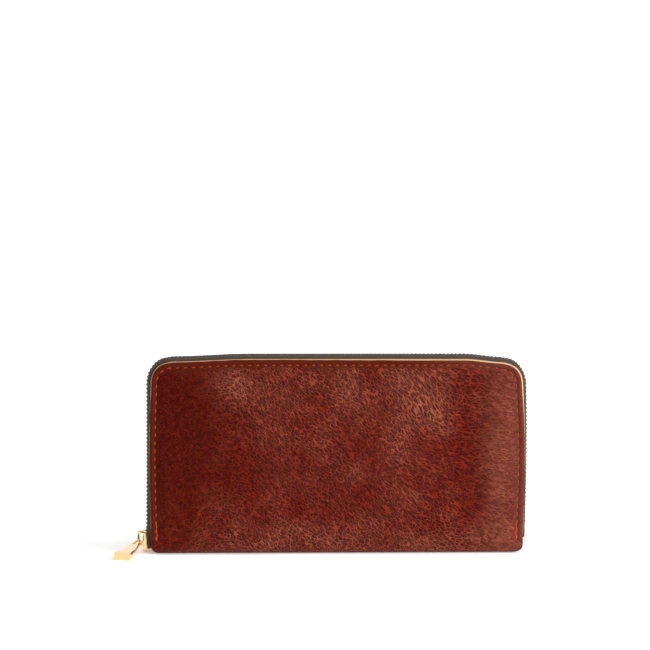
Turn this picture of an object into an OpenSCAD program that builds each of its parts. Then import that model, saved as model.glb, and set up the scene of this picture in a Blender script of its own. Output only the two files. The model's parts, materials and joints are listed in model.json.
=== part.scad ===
// Long zip around wallet, closed and standing on its spine.
// X runs along the wallet, the front cover faces -Y and Z is up. The origin is in the middle of the
// spine's flat underside. The outer zip runs up the left end, over the top and down the right end,
// and its slider is drawn shut at the foot of the left end.

/* [Leather shell] */
// Width of the leather, end to end
leather_w = 191; // [155:1:240]
// Height of the leather, from the flat underside to the top edge
leather_h = 99; // [82:1:130]
// Depth of the closed wallet, front to back
depth = 24; // [20:0.5:32]
// Thickness of the outer leather
leather_t = 1.5; // [1:0.1:2]
// Radius of the covers' top corners, seen from the front
corner_r = 11.5; // [9:0.5:18]
// Radius of the spine's bend, seen from the end
spine_r = 6; // [4:0.5:7]
// Radius of the spine's lower corners, seen from the front
foot_r = 4; // [1:0.5:5]
// Gap at each fold, between the spine and a cover
fold_gap = 0.3; // [0.2:0.1:0.6]

/* [Lining and pockets] */
// Thickness of the lining
lining_t = 0.8; // [0.5:0.1:1]
// How far the lining stays inside the leather's edge
lining_inset = 2; // [1:0.5:4]
// Thickness of one card slot's leather
slot_t = 0.7; // [0.5:0.1:0.8]
// Distance from the leather's end to the end of the card slots
slot_end_gap = 11.5; // [10:0.5:30]
// Distance from the leather's top edge down to the tallest card slot's mouth
slot_drop = 21; // [19:1:40]
// Step down from one slot's mouth to the next
slot_step = 11; // [8:1:14]
// Distance from the leather's end to the end of the coin pocket
coin_end_gap = 15.5; // [14.5:0.5:30]
// Distance from the leather's top edge down to the top of the coin pocket's walls
coin_drop = 27; // [25:1:40]
// Thickness of a coin pocket wall
coin_wall_t = 0.7; // [0.5:0.1:0.8]
// Space inside the coin pocket, front to back
coin_space = 1.8; // [1.2:0.1:2]
// Depth of the gussets' fold at its top
gusset_fold = 20; // [12:1:20]
// Thickness of the gusset fabric
gusset_t = 0.4; // [0.3:0.1:0.5]

/* [Outer zip] */
// How far the chain stands out past the leather at the two ends
proud_side = 3.8; // [3.6:0.1:5]
// How far the chain stands out past the leather along the top
proud_top = 2.8; // [2.5:0.1:4]
// Thickness of the zip's tape
tape_t = 0.6; // [0.4:0.1:0.7]
// Width of the tape that is sewn in between leather and lining
tape_seam = 7; // [4:0.5:7.5]
// Thickness of the coil, measured through the chain
coil_t = 1.7; // [1.4:0.1:2]
// Width of one row of the coil
coil_w = 2.4; // [2:0.1:3]
// Space between the two rows
row_gap = 1.2; // [0.8:0.1:1.4]
// How far the tape's loose ends stay inside the covers' faces
stub_inset = 3; // [2:0.1:5]
// Height at which the chain parts from the covers and is held by the spine
split_z = 18; // [15:0.5:24]
// Lower end of the tape at the slider's end
left_tape_z = 2.4; // [2:0.2:3]
// Lower end of the tape at the far end
right_tape_z = 8; // [6:0.5:10]

/* [Outer slider and pull] */
// Length of the slider
slider_len = 11; // [9:0.5:12]
// Thickness of the slider's flanges, beside the chain
flange_t = 0.95; // [0.7:0.05:1.4]
// Thickness of the slider's plates
plate_t = 1.1; // [0.8:0.1:1.3]
// Running clearance between the slider and the chain
zip_clear = 0.3; // [0.2:0.05:0.4]
// Height of the slider's foot above the ground
slider_foot = 0.3; // [0.2:0.1:0.8]
// Height of the bridge's hole above the slider's plate
bridge_hole = 1.9; // [1.8:0.1:2.4]
// Thickness of the bridge's bar
bridge_t = 1.2; // [0.9:0.1:1.3]
// Length of the pull, from its cross bar to its end
pull_len = 30; // [24:1:38]
// Width of the pull's end
pull_w = 8.3; // [6:0.1:10]
// Thickness of the pull's end block
pull_end_t = 3.4; // [2.4:0.1:4]
// Angle of the resting pull, from the wallet's long axis towards the front
pull_yaw = 79; // [72:1:84]

/* [Coin zip] */
// Width of one row of the coin zip
coin_row_w = 1.6; // [1.4:0.1:1.8]
// Thickness of the coin zip's coil
coin_coil_t = 1.3; // [1:0.1:1.5]
// Distance from the coin pocket's end to the end of its zip's chain
coin_chain_gap = 8; // [6:0.5:20]
// Length of the coin slider
coin_slider_len = 8.5; // [7:0.5:9]
// Length of the coin pull
coin_pull_len = 15; // [10:1:16]

/* [Stitching] */
// Pitch of the stitches
stitch_pitch = 4.1; // [3:0.1:6]
// Length of one stitch
stitch_l = 3.1; // [2:0.1:3.3]
// Width of the thread
thread_w = 0.8; // [0.5:0.1:1]
// Distance from the leather's edge to the stitch line
stitch_inset = 3.2; // [2.5:0.1:5]

/* [Hidden] */
$fn = 64;
// Card slots on each cover, one node each
SLOT_COUNT = 4;

LEATHER = "#7a2313";
LINING = "#5b4a3c";
SLOT_LEATHER = "#6a2a18";
TAPE = "#3f3a30";
COIL = "#6b6a62";
GOLD = "#d9ab5a";
THREAD = "#c8441a";

// The layers, each given by its distance from the middle plane
half_w = leather_w / 2;
half_d = depth / 2;
leather_in = half_d - leather_t;
tape_in = leather_in - tape_t;
lining_in = tape_in - lining_t;
slots_in = lining_in - SLOT_COUNT * slot_t;
coin_out = coin_space / 2 + coin_wall_t;

// The card slots and the coin pocket, held off the leather's edges
slot_w = leather_w - 2 * slot_end_gap;
slot_top = leather_h - slot_drop;
coin_w = leather_w - 2 * coin_end_gap;
coin_wall_top = leather_h - coin_drop;
coin_chain_l = coin_w - 2 * coin_chain_gap;

// The spine's channel and the foot of the covers
flat_half = half_d - spine_r;
fold_z = spine_r;
cover_z = fold_z + fold_gap;
floor_z = leather_t + lining_t;

// The chain: distances "out" are measured from its outer face, outwards
chain_x = half_w + proud_side;
chain_top = leather_h + proud_top;
chain_r = corner_r + (proud_side + proud_top) / 2;
bend_x = chain_x - chain_r;
bend_z = chain_top - chain_r;
row_in = row_gap / 2;
row_out = row_in + coil_w;
tape_out = -0.7 * coil_t;
dome_rise = proud_side - 1;
dome_run = tape_in + tape_t / 2 - row_out;
DOME_STEPS = 6;
stub_y = half_d - stub_inset;
stop_l = 1.5;

// The slider's parts, out from the chain's outer face
flange_in = row_out + zip_clear;
flange_out = flange_in + flange_t;
flange_low = tape_out + tape_t / 2 + zip_clear;
inner_top = -coil_t - zip_clear;
post_half = row_in - zip_clear;
plate_out = zip_clear + plate_t;
slider_z = slider_foot + slider_len / 2;

// The bridge and the pull that hangs on it
bridge_half_y = 0.75;
bridge_foot = 1.2;
hole_l = 5.6;
bridge_shift = 1;
bar_out = plate_out + bridge_hole + bridge_t / 2;
cross_r = 0.5;
leg_w = 0.9;
slot_half = bridge_t / 2 + 0.4;
neck_half = slot_half + leg_w;
root_y = bridge_half_y + cross_r + 0.25;
root_out = bar_out - root_y / tan(pull_yaw);
root_x = -(chain_x + root_out);
root_z = slider_z + bridge_shift - hole_l / 2 + cross_r + 0.5;
rest_gap = 0.05;
pull_reach = sqrt(pow(pull_len, 2) + pow(pull_end_t / 2, 2));
pull_dip = asin((root_z - rest_gap) / pull_reach) - atan(pull_end_t / 2 / pull_len);

// The coin zip, which lies along the top of the coin pocket
coin_tape_t = 0.4;
coin_row_out = coin_out + coin_tape_t;
coin_row_in = coin_row_out - coin_row_w;
coin_coil_z = coin_wall_top + 2.7;
coin_chain_z = coin_coil_z + coin_coil_t;
coin_clear = 0.25;
coin_plate_t = 0.9;
coin_plate_out = coin_clear + coin_plate_t;
coin_slider_half = coin_row_out + 0.9;
coin_fold_gap = 1.05;
coin_hole = 1.2;
coin_bar_t = 0.8;
coin_root_z = coin_chain_z + coin_plate_out + coin_hole / 2;
coin_slider_x = -coin_chain_l / 2 + 12;
coin_dip = 2;

// ---------------------------------------------------------------- shared shapes

// A cover's outline in the XZ plane, inset from the leather's edge, standing on z0
module cover_outline(inset, z0) {
    r = corner_r - inset;
    w = half_w - inset;
    top = leather_h - inset;
    union() {
        translate([-w, z0]) square([2 * w, top - r - z0]);
        translate([-w + r, z0]) square([2 * (w - r), top - z0]);
        for (s = [-1, 1]) translate([s * (w - r), top - r]) circle(r);
    }
}

// A flat layer from y0 back to y1, both measured forwards from the middle plane
module layer(y0, y1) {
    translate([0, -y1, 0]) rotate([90, 0, 0]) linear_extrude(y0 - y1) children();
}

// A section drawn as [out, forward], run up one end of the wallet from z0 to z1
module up_the_end(z0, z1) {
    translate([chain_x, 0, z0]) linear_extrude(z1 - z0) mirror([0, 1, 0]) children();
}

// The same section carried over one top corner
module over_the_corner() {
    translate([bend_x, 0, bend_z]) rotate([90, 0, 0]) rotate_extrude(angle = 90)
        translate([chain_r, 0]) children();
}

// The same section run along the top
module along_the_top() {
    translate([bend_x, 0, chain_top]) rotate([0, -90, 0]) linear_extrude(2 * bend_x)
        mirror([0, 1, 0]) children();
}

// The section carried up both ends and over the top
module round_zip(z0) {
    union() {
        along_the_top() children();
        for (s = [0, 1]) mirror([s, 0, 0]) {
            up_the_end(z0, bend_z) children();
            over_the_corner() children();
        }
    }
}

// Points along the tape's dome at a distance d outside its middle line, from the chain to angle a
function dome(d, a) = [for (i = [0:DOME_STEPS]) let (t = 90 - i * (90 - a) / DOME_STEPS)
    [tape_out - dome_rise + (dome_rise + d) * sin(t), row_out + (dome_run + d) * cos(t)]];

function reversed(list) = [for (i = [len(list) - 1:-1:0]) list[i]];

// The tape from the chain into the seam between leather and lining
module tape_section() {
    seam_out = tape_out - dome_rise - tape_seam;
    polygon(concat(
        dome(tape_t / 2, 0),
        [[seam_out, leather_in], [seam_out, tape_in]],
        reversed(dome(-tape_t / 2, 0))));
}

// The tape at the foot of an end, where nothing holds it but the chain
module tape_stub_section() {
    a = acos((stub_y - row_out) / dome_run);
    polygon(concat(dome(tape_t / 2, a), reversed(dome(-tape_t / 2, a))));
}

module coil_section() {
    translate([-coil_t, row_in]) square([coil_t, coil_w]);
}

// Draws the front's shape as it is for the front, or mirrored for the back
module on_side(back) {
    mirror([0, back ? 1 : 0, 0]) children();
}

// ---------------------------------------------------------------- covers

module panel(back) {
    color(LEATHER) on_side(back) layer(half_d, leather_in) cover_outline(0, cover_z);
}

module lining(back) {
    color(LINING) on_side(back) layer(tape_in, lining_in) cover_outline(lining_inset, cover_z);
}

// Card slot n, counted from the lining inwards, each one lower than the last
module card_slot(n, back) {
    y0 = lining_in - (n - 1) * slot_t;
    z0 = cover_z + 1.5;
    z1 = slot_top - (n - 1) * slot_step;
    color(SLOT_LEATHER) on_side(back) layer(y0, y0 - slot_t)
        translate([-slot_w / 2, z0]) square([slot_w, z1 - z0]);
}

// The tape of one cover: the U round the chain, and its seam down to the foot of the cover
module zip_tape(back) {
    seam_w = tape_seam - (proud_side - dome_rise + tape_out);
    color(TAPE) on_side(back) union() {
        round_zip(split_z) tape_section();
        for (s = [0, 1]) mirror([s, 0, 0])
            translate([half_w - seam_w, -leather_in, cover_z])
                cube([seam_w - 0.2, tape_t, split_z - cover_z]);
    }
}

module zip_coil(back) {
    color(COIL) on_side(back) round_zip(split_z) coil_section();
}

module stitch() {
    translate([-stitch_l / 2, -half_d - thread_w / 2, -thread_w / 2])
        cube([stitch_l, thread_w / 2, thread_w]);
}

// Stitches up both ends, over both corners and along the top
module stitching(back) {
    line_r = corner_r - stitch_inset;
    line_x = half_w - stitch_inset;
    line_z = leather_h - stitch_inset;
    centre_x = half_w - corner_r;
    centre_z = leather_h - corner_r;
    foot = cover_z + stitch_l / 2 + 0.4;
    n_side = floor((centre_z - foot) / stitch_pitch);
    n_top = floor(2 * centre_x / stitch_pitch);
    n_bend = max(1, round(line_r * PI / 2 / stitch_pitch));
    color(THREAD) on_side(back) {
        for (i = [0:n_top]) translate([(i - n_top / 2) * stitch_pitch, 0, line_z]) stitch();
        for (s = [0, 1]) mirror([s, 0, 0]) {
            for (i = [0:n_side])
                translate([line_x, 0, centre_z - i * stitch_pitch]) rotate([0, 90, 0]) stitch();
            for (i = [1:n_bend - 1]) translate([centre_x, 0, centre_z])
                rotate([0, -90 * i / n_bend, 0]) translate([line_r, 0, 0])
                    rotate([0, 90, 0]) stitch();
        }
    }
}

// ---------------------------------------------------------------- spine and coin pocket

// The filled section of the spine's bend out to radius r, drawn as [forward, up]
module spine_section(r) {
    intersection() {
        union() {
            translate([-flat_half, fold_z - r]) square([2 * flat_half, r]);
            for (s = [-1, 1]) translate([s * flat_half, fold_z]) circle(r);
        }
        translate([-half_d, 0]) square([depth, fold_z]);
    }
}

// A channel of the spine's section between two radii, run along X
module spine_channel(r_out, r_in, length) {
    translate([-length / 2, 0, 0]) rotate([90, 0, 90]) linear_extrude(length) difference() {
        spine_section(r_out);
        spine_section(r_in);
    }
}

module spine() {
    color(LEATHER) intersection() {
        spine_channel(spine_r, spine_r - leather_t, leather_w);
        layer(half_d + 1, -half_d - 1) union() {
            translate([-half_w, foot_r]) square([leather_w, fold_z]);
            translate([-half_w + foot_r, 0]) square([leather_w - 2 * foot_r, fold_z]);
            for (s = [-1, 1]) translate([s * (half_w - foot_r), foot_r]) circle(foot_r);
        }
    }
}

module spine_lining() {
    color(LINING) spine_channel(spine_r - leather_t, spine_r - leather_t - lining_t,
        leather_w - 2 * (foot_r + 0.5));
}

// One wall of the coin pocket, with the half rim that closes its ends and its foot
module coin_wall(back) {
    rim = 1.2;
    color(SLOT_LEATHER) on_side(back) difference() {
        translate([-coin_w / 2, -coin_out, floor_z])
            cube([coin_w, coin_out, coin_wall_top - floor_z]);
        translate([-coin_w / 2 + rim, -coin_space / 2, floor_z + rim])
            cube([coin_w - 2 * rim, coin_space, coin_wall_top]);
    }
}

module coin_tape(back) {
    seam = 6;
    color(TAPE) on_side(back)
        translate([-coin_chain_l / 2 - 3, -coin_row_out, coin_wall_top - seam])
            cube([coin_chain_l + 6, coin_tape_t, coin_coil_z - coin_wall_top + seam]);
}

module coin_coil(back) {
    color(COIL) on_side(back) translate([-coin_chain_l / 2, -coin_row_out, coin_coil_z])
        cube([coin_chain_l, coin_row_w, coin_coil_t]);
}

// A clamp over both rows at each end of the coin zip
module coin_zip_stops() {
    color(GOLD) for (s = [0, 1]) mirror([s, 0, 0])
        translate([coin_chain_l / 2, -coin_row_out, coin_coil_z])
            cube([1.4, 2 * coin_row_out, coin_coil_t]);
}

// ---------------------------------------------------------------- ends of the outer zip

// The tape below split_z at one end, front half and back half
module tape_ends(z0) {
    color(TAPE) for (back = [false, true]) on_side(back)
        up_the_end(z0, split_z - fold_gap) tape_stub_section();
}

module coil_ends(z0) {
    color(COIL) for (back = [false, true]) on_side(back)
        up_the_end(z0, split_z - fold_gap) coil_section();
}

module left_tape_ends() {
    mirror([1, 0, 0]) tape_ends(left_tape_z);
}

module right_tape_ends() {
    tape_ends(right_tape_z);
}

module left_coil_ends() {
    mirror([1, 0, 0]) coil_ends(left_tape_z + stop_l);
}

module right_coil_ends() {
    coil_ends(right_tape_z + stop_l);
}

// A clamp on the end of each row, which stops the slider when the wallet is shut
module zip_top_stops() {
    color(GOLD) for (back = [false, true]) on_side(back) mirror([1, 0, 0])
        up_the_end(left_tape_z, left_tape_z + stop_l)
            translate([-coil_t, row_in]) square([coil_t + 0.1, coil_w]);
}

// A clamp across both rows, which stops the slider when the wallet is open
module zip_bottom_stop() {
    color(GOLD) up_the_end(right_tape_z, right_tape_z + stop_l)
        translate([-coil_t, -row_out]) square([coil_t + 0.1, 2 * row_out]);
}

// ---------------------------------------------------------------- gussets

// A closed skin of triangles over a stack of rings, each one a thick line's points. Both faces of the
// thick line are split along the same diagonals, so that they stay the same distance apart
module loft(rings) {
    n = len(rings[0]);
    half = n / 2;
    last = len(rings) - 1;
    points = [for (ring = rings) each ring];
    sides = [for (k = [0:last - 1]) for (i = [0:n - 1]) let (
        a = k * n + i,
        b = k * n + (i + 1) % n,
        c = a + n,
        d = b + n
    ) each i < half ? [[a, c, b], [b, c, d]] : [[a, d, b], [a, c, d]]];
    floor_faces = [for (i = [0:half - 2]) each
        [[i, i + 1, n - 1 - i], [i + 1, n - 2 - i, n - 1 - i]]];
    roof_faces = [for (f = floor_faces) [for (k = [2:-1:0]) f[k] + last * n]];
    polyhedron(points, concat(sides, floor_faces, roof_faces));
}

// The unit normal to the left of the way from a to b
function left_of(a, b) = let (d = b - a) [-d[1], d[0]] / norm(d);

// How far to shift point i of a line, for each unit that the whole line moves to its left
function mitre(line, i) =
    i == 0 ? left_of(line[0], line[1]) :
    i == len(line) - 1 ? left_of(line[i - 1], line[i]) :
    let (n = left_of(line[i - 1], line[i]), m = left_of(line[i], line[i + 1])) (n + m) / (1 + n * m);

// A line given a thickness: its left side one way and its right side back
function thick_line(line, t) = let (last = len(line) - 1) concat(
    [for (i = [0:last]) line[i] + t / 2 * mitre(line, i)],
    [for (i = [last:-1:0]) line[i] - t / 2 * mitre(line, i)]);

// The gusset's middle line from above, from the coin pocket in to the fold, which the coin slider
// passes, and out to the lining, as [along the wallet, forwards]
function gusset_line(fold) = let (
    pocket_x = coin_w / 2 - 1,
    near = coin_out + 0.3,
    far = slots_in - 0.3
) [
    [pocket_x, near], [pocket_x - fold, coin_slider_half + coin_fold_gap],
    [slot_w / 2 + 1.3, far], [slot_w / 2 + 2.5, lining_in - 0.4]];

// The gusset at the right end of the front, with a fold that deepens as it rises
module gusset(back, left) {
    least_fold = 2;
    ring = function (fold, z) [for (p = thick_line(gusset_line(fold), gusset_t)) [p[0], -p[1], z]];
    color(LINING) on_side(back) mirror([left ? 1 : 0, 0, 0])
        loft([ring(least_fold, cover_z + 2), ring(gusset_fold, slot_top + 8)]);
}

// ---------------------------------------------------------------- sliders and pulls

// A zip slider lying along X, its chain's outer face at z = 0: two plates joined by a post at its
// wide end, flanges that hold the rows in, and a bridge for the pull
module slider(length, half_y, plate, clear, flange_y, flange_z, low_z, low_half, post_y,
    bridge_y, foot, hole, gap, bar, shift) {
    top = clear + plate;
    difference() {
        union() {
            translate([-length / 2, -half_y, clear]) cube([length, 2 * half_y, plate]);
            for (s = [0, 1]) mirror([0, s, 0])
                translate([-length / 2, flange_y, flange_z])
                    cube([length, half_y - flange_y, clear - flange_z]);
            translate([-length / 2, -low_half, low_z - plate])
                cube([length, 2 * low_half, plate]);
            translate([-length / 2 + 0.5, -post_y, low_z])
                cube([0.28 * length, 2 * post_y, clear - low_z]);
            translate([shift - hole / 2 - foot, -bridge_y, top])
                cube([hole + 2 * foot, 2 * bridge_y, gap + bar]);
        }
        translate([shift - hole / 2, -bridge_y - 1, top])
            cube([hole, 2 * bridge_y + 2, gap]);
        // rounded corners of both plates
        for (x = [-1, 1]) for (y = [-1, 1])
            translate([x * length / 2, y * half_y, low_z - plate - 1])
                corner_cut(0.32 * half_y, -x, -y, top - low_z + plate + 1.001);
    }
}

// What is cut off a square corner at the origin to round it to radius r, where the body lies
// towards dx and dy
module corner_cut(r, dx, dy, h) {
    difference() {
        translate([dx > 0 ? -1 : -r, dy > 0 ? -1 : -r, 0]) cube([r + 1, r + 1, h]);
        translate([dx * r, dy * r, -1]) cylinder(r = r, h = h + 2);
    }
}

module zip_slider() {
    color(GOLD) translate([-chain_x, 0, slider_z]) rotate([0, -90, 0])
        slider(slider_len, flange_out, plate_t, zip_clear, flange_in, flange_low, inner_top,
            flange_out, post_half, bridge_half_y, bridge_foot, hole_l, bridge_hole, bridge_t,
            bridge_shift);
}

module coin_slider() {
    color(GOLD) translate([coin_slider_x, 0, coin_chain_z])
        slider(coin_slider_len, coin_slider_half, coin_plate_t, coin_clear,
            coin_row_out + coin_clear, -0.75, -coin_coil_t - coin_clear, coin_out - coin_clear,
            coin_row_in - 0.2, 0.5, 0.9, 4.8, coin_hole, coin_bar_t, 0);
}

// A pull lying along X from its round cross bar at the origin: its outline from above, with the slot
// that the bridge passes through, cut to its profile from the side
module pull(outline, slot, profile, bar_r) {
    wide = max([for (p = outline) p[1]]);
    union() {
        intersection() {
            translate([0, 0, -5]) linear_extrude(10) difference() {
                polygon(concat(outline, [for (p = reversed(outline)) [p[0], -p[1]]]));
                polygon(concat(slot, [for (p = reversed(slot)) [p[0], -p[1]]]));
            }
            rotate([90, 0, 0]) translate([0, 0, -wide - 1]) linear_extrude(2 * wide + 2)
                polygon(concat(profile, [for (p = reversed(profile)) [p[0], -p[1]]]));
        }
        rotate([90, 0, 0]) cylinder(r = bar_r, h = 2 * outline[0][1], center = true);
    }
}

module zip_pull() {
    ramp = 6;
    end = 5;
    color(GOLD) translate([root_x, root_y, root_z]) rotate([0, 0, 180 + pull_yaw])
        rotate([0, pull_dip, 0]) pull(
            [[0, neck_half], [3, neck_half], [pull_len - end, pull_w / 2],
                [pull_len, pull_w / 2]],
            [[0, slot_half], [8.4, slot_half + 0.6]],
            [[0, 0.8 * cross_r], [1.5, cross_r], [8, cross_r + 0.1],
                [pull_len - end - ramp, cross_r + 0.3],
                [pull_len - end, pull_end_t / 2], [pull_len, pull_end_t / 2]],
            cross_r);
}

module coin_pull() {
    color(GOLD) translate([coin_slider_x, 0, coin_root_z]) rotate([0, coin_dip, 0]) pull(
        [[0, 1.5], [2, 1.5], [coin_pull_len - 3, 1.9], [coin_pull_len, 1.5]],
        [[0, 0.75], [5.2, 0.75]],
        [[0, 0.32], [1.2, 0.4], [coin_pull_len, 0.4]],
        0.4);
}

spine();
spine_lining();
coin_wall(false);  // coin_pocket_front
coin_wall(true);  // coin_pocket_back
coin_tape(false);  // coin_tape_front
coin_tape(true);  // coin_tape_back
coin_coil(false);  // coin_coil_front
coin_coil(true);  // coin_coil_back
coin_zip_stops();
left_tape_ends();
right_tape_ends();
left_coil_ends();
right_coil_ends();
zip_top_stops();
zip_bottom_stop();
gusset(false, true);  // gusset_front_left
gusset(false, false);  // gusset_front_right
gusset(true, true);  // gusset_back_left
gusset(true, false);  // gusset_back_right
panel(false);  // front_panel
lining(false);  // front_lining
card_slot(1, false);  // front_card_slot_1
card_slot(2, false);  // front_card_slot_2
card_slot(3, false);  // front_card_slot_3
card_slot(4, false);  // front_card_slot_4
zip_tape(false);  // front_zip_tape
zip_coil(false);  // front_zip_coil
stitching(false);  // front_stitching
panel(true);  // back_panel
lining(true);  // back_lining
card_slot(1, true);  // back_card_slot_1
card_slot(2, true);  // back_card_slot_2
card_slot(3, true);  // back_card_slot_3
card_slot(4, true);  // back_card_slot_4
zip_tape(true);  // back_zip_tape
zip_coil(true);  // back_zip_coil
stitching(true);  // back_stitching
zip_slider();
zip_pull();
coin_slider();
coin_pull();
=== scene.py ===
# %% [markdown]
# # Zip around wallet
# A long leather wallet, closed by a zip that runs up one end, over the top and down the other. The
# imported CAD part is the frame: it holds every piece in its place and on its joint, as plain solids.
# This script gives each piece its looks: leather that puffs between its seams and shows a raw cut
# edge, thread sunk in its groove, a zip of real coil loops, and polished metal.
#
# Sizes are in millimetres until `build` turns them into metres. Both covers are worked out as the
# front's. The back then gets fine wrinkles of its own and is turned to the other side.

# %% Load the frame
import json
import math

import bmesh
import bpy
import numpy as np
from mathutils import Matrix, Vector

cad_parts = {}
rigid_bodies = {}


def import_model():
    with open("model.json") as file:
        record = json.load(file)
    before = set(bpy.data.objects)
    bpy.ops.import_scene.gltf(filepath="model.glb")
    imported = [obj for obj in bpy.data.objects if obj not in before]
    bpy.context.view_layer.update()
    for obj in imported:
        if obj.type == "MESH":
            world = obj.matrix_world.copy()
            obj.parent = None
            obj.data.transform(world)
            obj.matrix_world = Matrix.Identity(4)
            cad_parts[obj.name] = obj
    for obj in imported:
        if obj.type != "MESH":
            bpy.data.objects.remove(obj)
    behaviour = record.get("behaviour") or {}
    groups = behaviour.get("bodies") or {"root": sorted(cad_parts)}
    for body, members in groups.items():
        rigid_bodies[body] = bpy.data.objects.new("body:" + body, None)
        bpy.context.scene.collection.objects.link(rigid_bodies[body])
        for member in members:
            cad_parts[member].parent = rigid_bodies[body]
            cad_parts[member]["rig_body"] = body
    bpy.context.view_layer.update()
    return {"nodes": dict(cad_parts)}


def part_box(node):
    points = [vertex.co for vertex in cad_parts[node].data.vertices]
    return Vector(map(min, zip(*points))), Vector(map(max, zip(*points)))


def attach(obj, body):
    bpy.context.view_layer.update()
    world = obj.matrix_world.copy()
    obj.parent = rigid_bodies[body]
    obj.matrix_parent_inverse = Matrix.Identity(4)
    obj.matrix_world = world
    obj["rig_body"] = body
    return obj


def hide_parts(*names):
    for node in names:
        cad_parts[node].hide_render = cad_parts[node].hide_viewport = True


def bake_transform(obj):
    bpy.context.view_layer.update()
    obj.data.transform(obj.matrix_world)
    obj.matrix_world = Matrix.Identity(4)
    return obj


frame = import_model()

# %% [markdown]
# ## Camera
# The wallet stands on its spine and is seen level, from just above its top edge and a little to its
# left. A short lens close by would make the near end loom. A long lens from 0.7 m keeps the outline
# square, and it is the way to show a small flat thing.

# %% Camera
scene = bpy.context.scene
scene.view_settings.view_transform = "Standard"
camera_data = bpy.data.cameras.new("camera")
camera_data.lens = 74.1
camera_data.clip_start = 0.01
camera = bpy.data.objects.new("camera", camera_data)
camera.location = (-0.0215, -0.6997, 0.1179)
camera.rotation_euler = (math.radians(90), 0, math.radians(-1.26))
scene.collection.objects.link(camera)
scene.camera = camera
print("camera", round(-camera.location.y, 3), "m in front, lens", round(camera_data.lens, 1), "mm")

# %% [markdown]
# ## Sizes measured on the frame
# The new pieces could be placed by numbers copied from the CAD part, but then they would drift
# apart from it at its next change. Instead they are worked out from the boxes of its nodes, here
# and further down.


# %% Measure the frame
def box(name):
    """The lowest and highest corner of a CAD node, in mm."""
    low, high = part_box(name)
    return np.array(low) * 1000, np.array(high) * 1000


def bend_start(name):
    """The height, in mm, at which a node's side starts to bend in at its top corner."""
    points = np.array([v.co for v in frame["nodes"][name].data.vertices]) * 1000
    on_side = points[:, 0] > points[:, 0].max() - 0.01
    return points[on_side, 2].max()


panel_low, panel_high = box("front_panel")
half_w, top_z, half_d = panel_high[0], panel_high[2], -panel_low[1]
leather_t = panel_high[1] - panel_low[1]
corner_r = top_z - bend_start("front_panel")
spine_r = box("spine")[1][2]
flat_half = half_d - spine_r
size = half_w * 2, half_d * 2, top_z, corner_r
print("leather's width, depth, height and corner, mm:", [round(float(v), 1) for v in size])

# %% [markdown]
# ## A surface from arrays
# A leather sheet, a tape and a coil loop are all grids: two numbers say where a point is on the
# surface, and a formula says where that point is in space. Modelling them by hand would give a few
# dozen points. numpy works the formula out for tens of thousands of points at once, and
# `from_pydata` makes them a mesh.


# %% Grids and meshes
def quads(rows, columns, around=False, start=0):
    """Quads over a grid of points, row by row. With around, the last column joins the first."""
    r = np.arange(rows - 1)[:, None]
    c = np.arange(columns if around else columns - 1)[None, :]
    d = (c + 1) % columns
    corners = [r * columns + c, r * columns + d, (r + 1) * columns + d, (r + 1) * columns + c]
    return np.stack(corners, -1).reshape(-1, 4) + start


def build(name, points, faces, materials, indices=None, smooth=True):
    """A mesh object from points in mm and a list of faces. indices gives each face its finish."""
    mesh = bpy.data.meshes.new(name)
    faces = [list(f) for f in faces]
    mesh.from_pydata((np.asarray(points, float) / 1000).tolist(), [], faces)
    mesh.polygons.foreach_set("use_smooth", [smooth] * len(mesh.polygons))
    for m in materials:
        mesh.materials.append(m)
    if indices is not None:
        mesh.polygons.foreach_set("material_index", np.asarray(indices, np.int32))
    mesh.update()
    obj = bpy.data.objects.new(name, mesh)
    scene.collection.objects.link(obj)
    return obj


def outwards(obj):
    """Recalculates a closed mesh's normals so that they point out of it."""
    bm = bmesh.new()
    bm.from_mesh(obj.data)
    bmesh.ops.recalc_face_normals(bm, faces=bm.faces)
    bm.to_mesh(obj.data)
    bm.free()
    return obj


print("a grid of 3 x 4 points has", len(quads(3, 4)), "quads")

# %% [markdown]
# ## The outer leather, laid flat
# On the real wallet one piece of cowhide makes both covers and the spine between them. A block with
# a rounded top would show none of that, so the surface here is the sheet itself: a place on it is
# (x, s), with s the length from the middle of the spine's underside, round the fold and up the
# cover. The sheet is then bent in space, and the closed wallet's soft outline comes last.

# %% Bend the sheet
bend_l = spine_r * math.pi / 2
sheet_l = flat_half + bend_l + top_z - spine_r
# s where a cover's height z would be 0, so that z = s - cover_s on the cover
cover_s = flat_half + bend_l - spine_r


def sheet_point(x, s, out):
    """The 3-D point of a place on the front's sheet, out mm outside its outer face.
    y = -s on the flat, then -(flat_half + r sin a), with a = (s - flat_half) / r, then -half_d."""
    a = np.clip((s - flat_half) / spine_r, 0, math.pi / 2)
    flat, rise = np.minimum(s, flat_half), np.maximum(s - flat_half - bend_l, 0)
    ny, nz = -np.sin(a), -np.cos(a)
    y = -flat + ny * spine_r + ny * out
    z = spine_r + nz * spine_r + rise + nz * out
    return np.stack(np.broadcast_arrays(x, y, z), -1)


def smoothstep(x, a, b):
    """0 up to a, 1 from b on, and t * t * (3 - 2 t) between them, with t the share of the way."""
    t = np.clip((x - a) / (b - a), 0, 1)
    return t * t * (3 - 2 * t)


print("half of the sheet is", round(sheet_l, 1), "mm from the spine's middle to the top edge")


# %% The closed wallet's soft outline
# the top is crowned by this much, and the ends belly out by these at half height
CROWN, BELLY_LEFT, BELLY_RIGHT = 1.35, 1.2, 1.8
# a cover's height over which the crown sets in, and the belly's middle and half height
CROWN_FROM, CROWN_TO, BELLY_Z, BELLY_H = 55, 95, 50, 34


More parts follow.
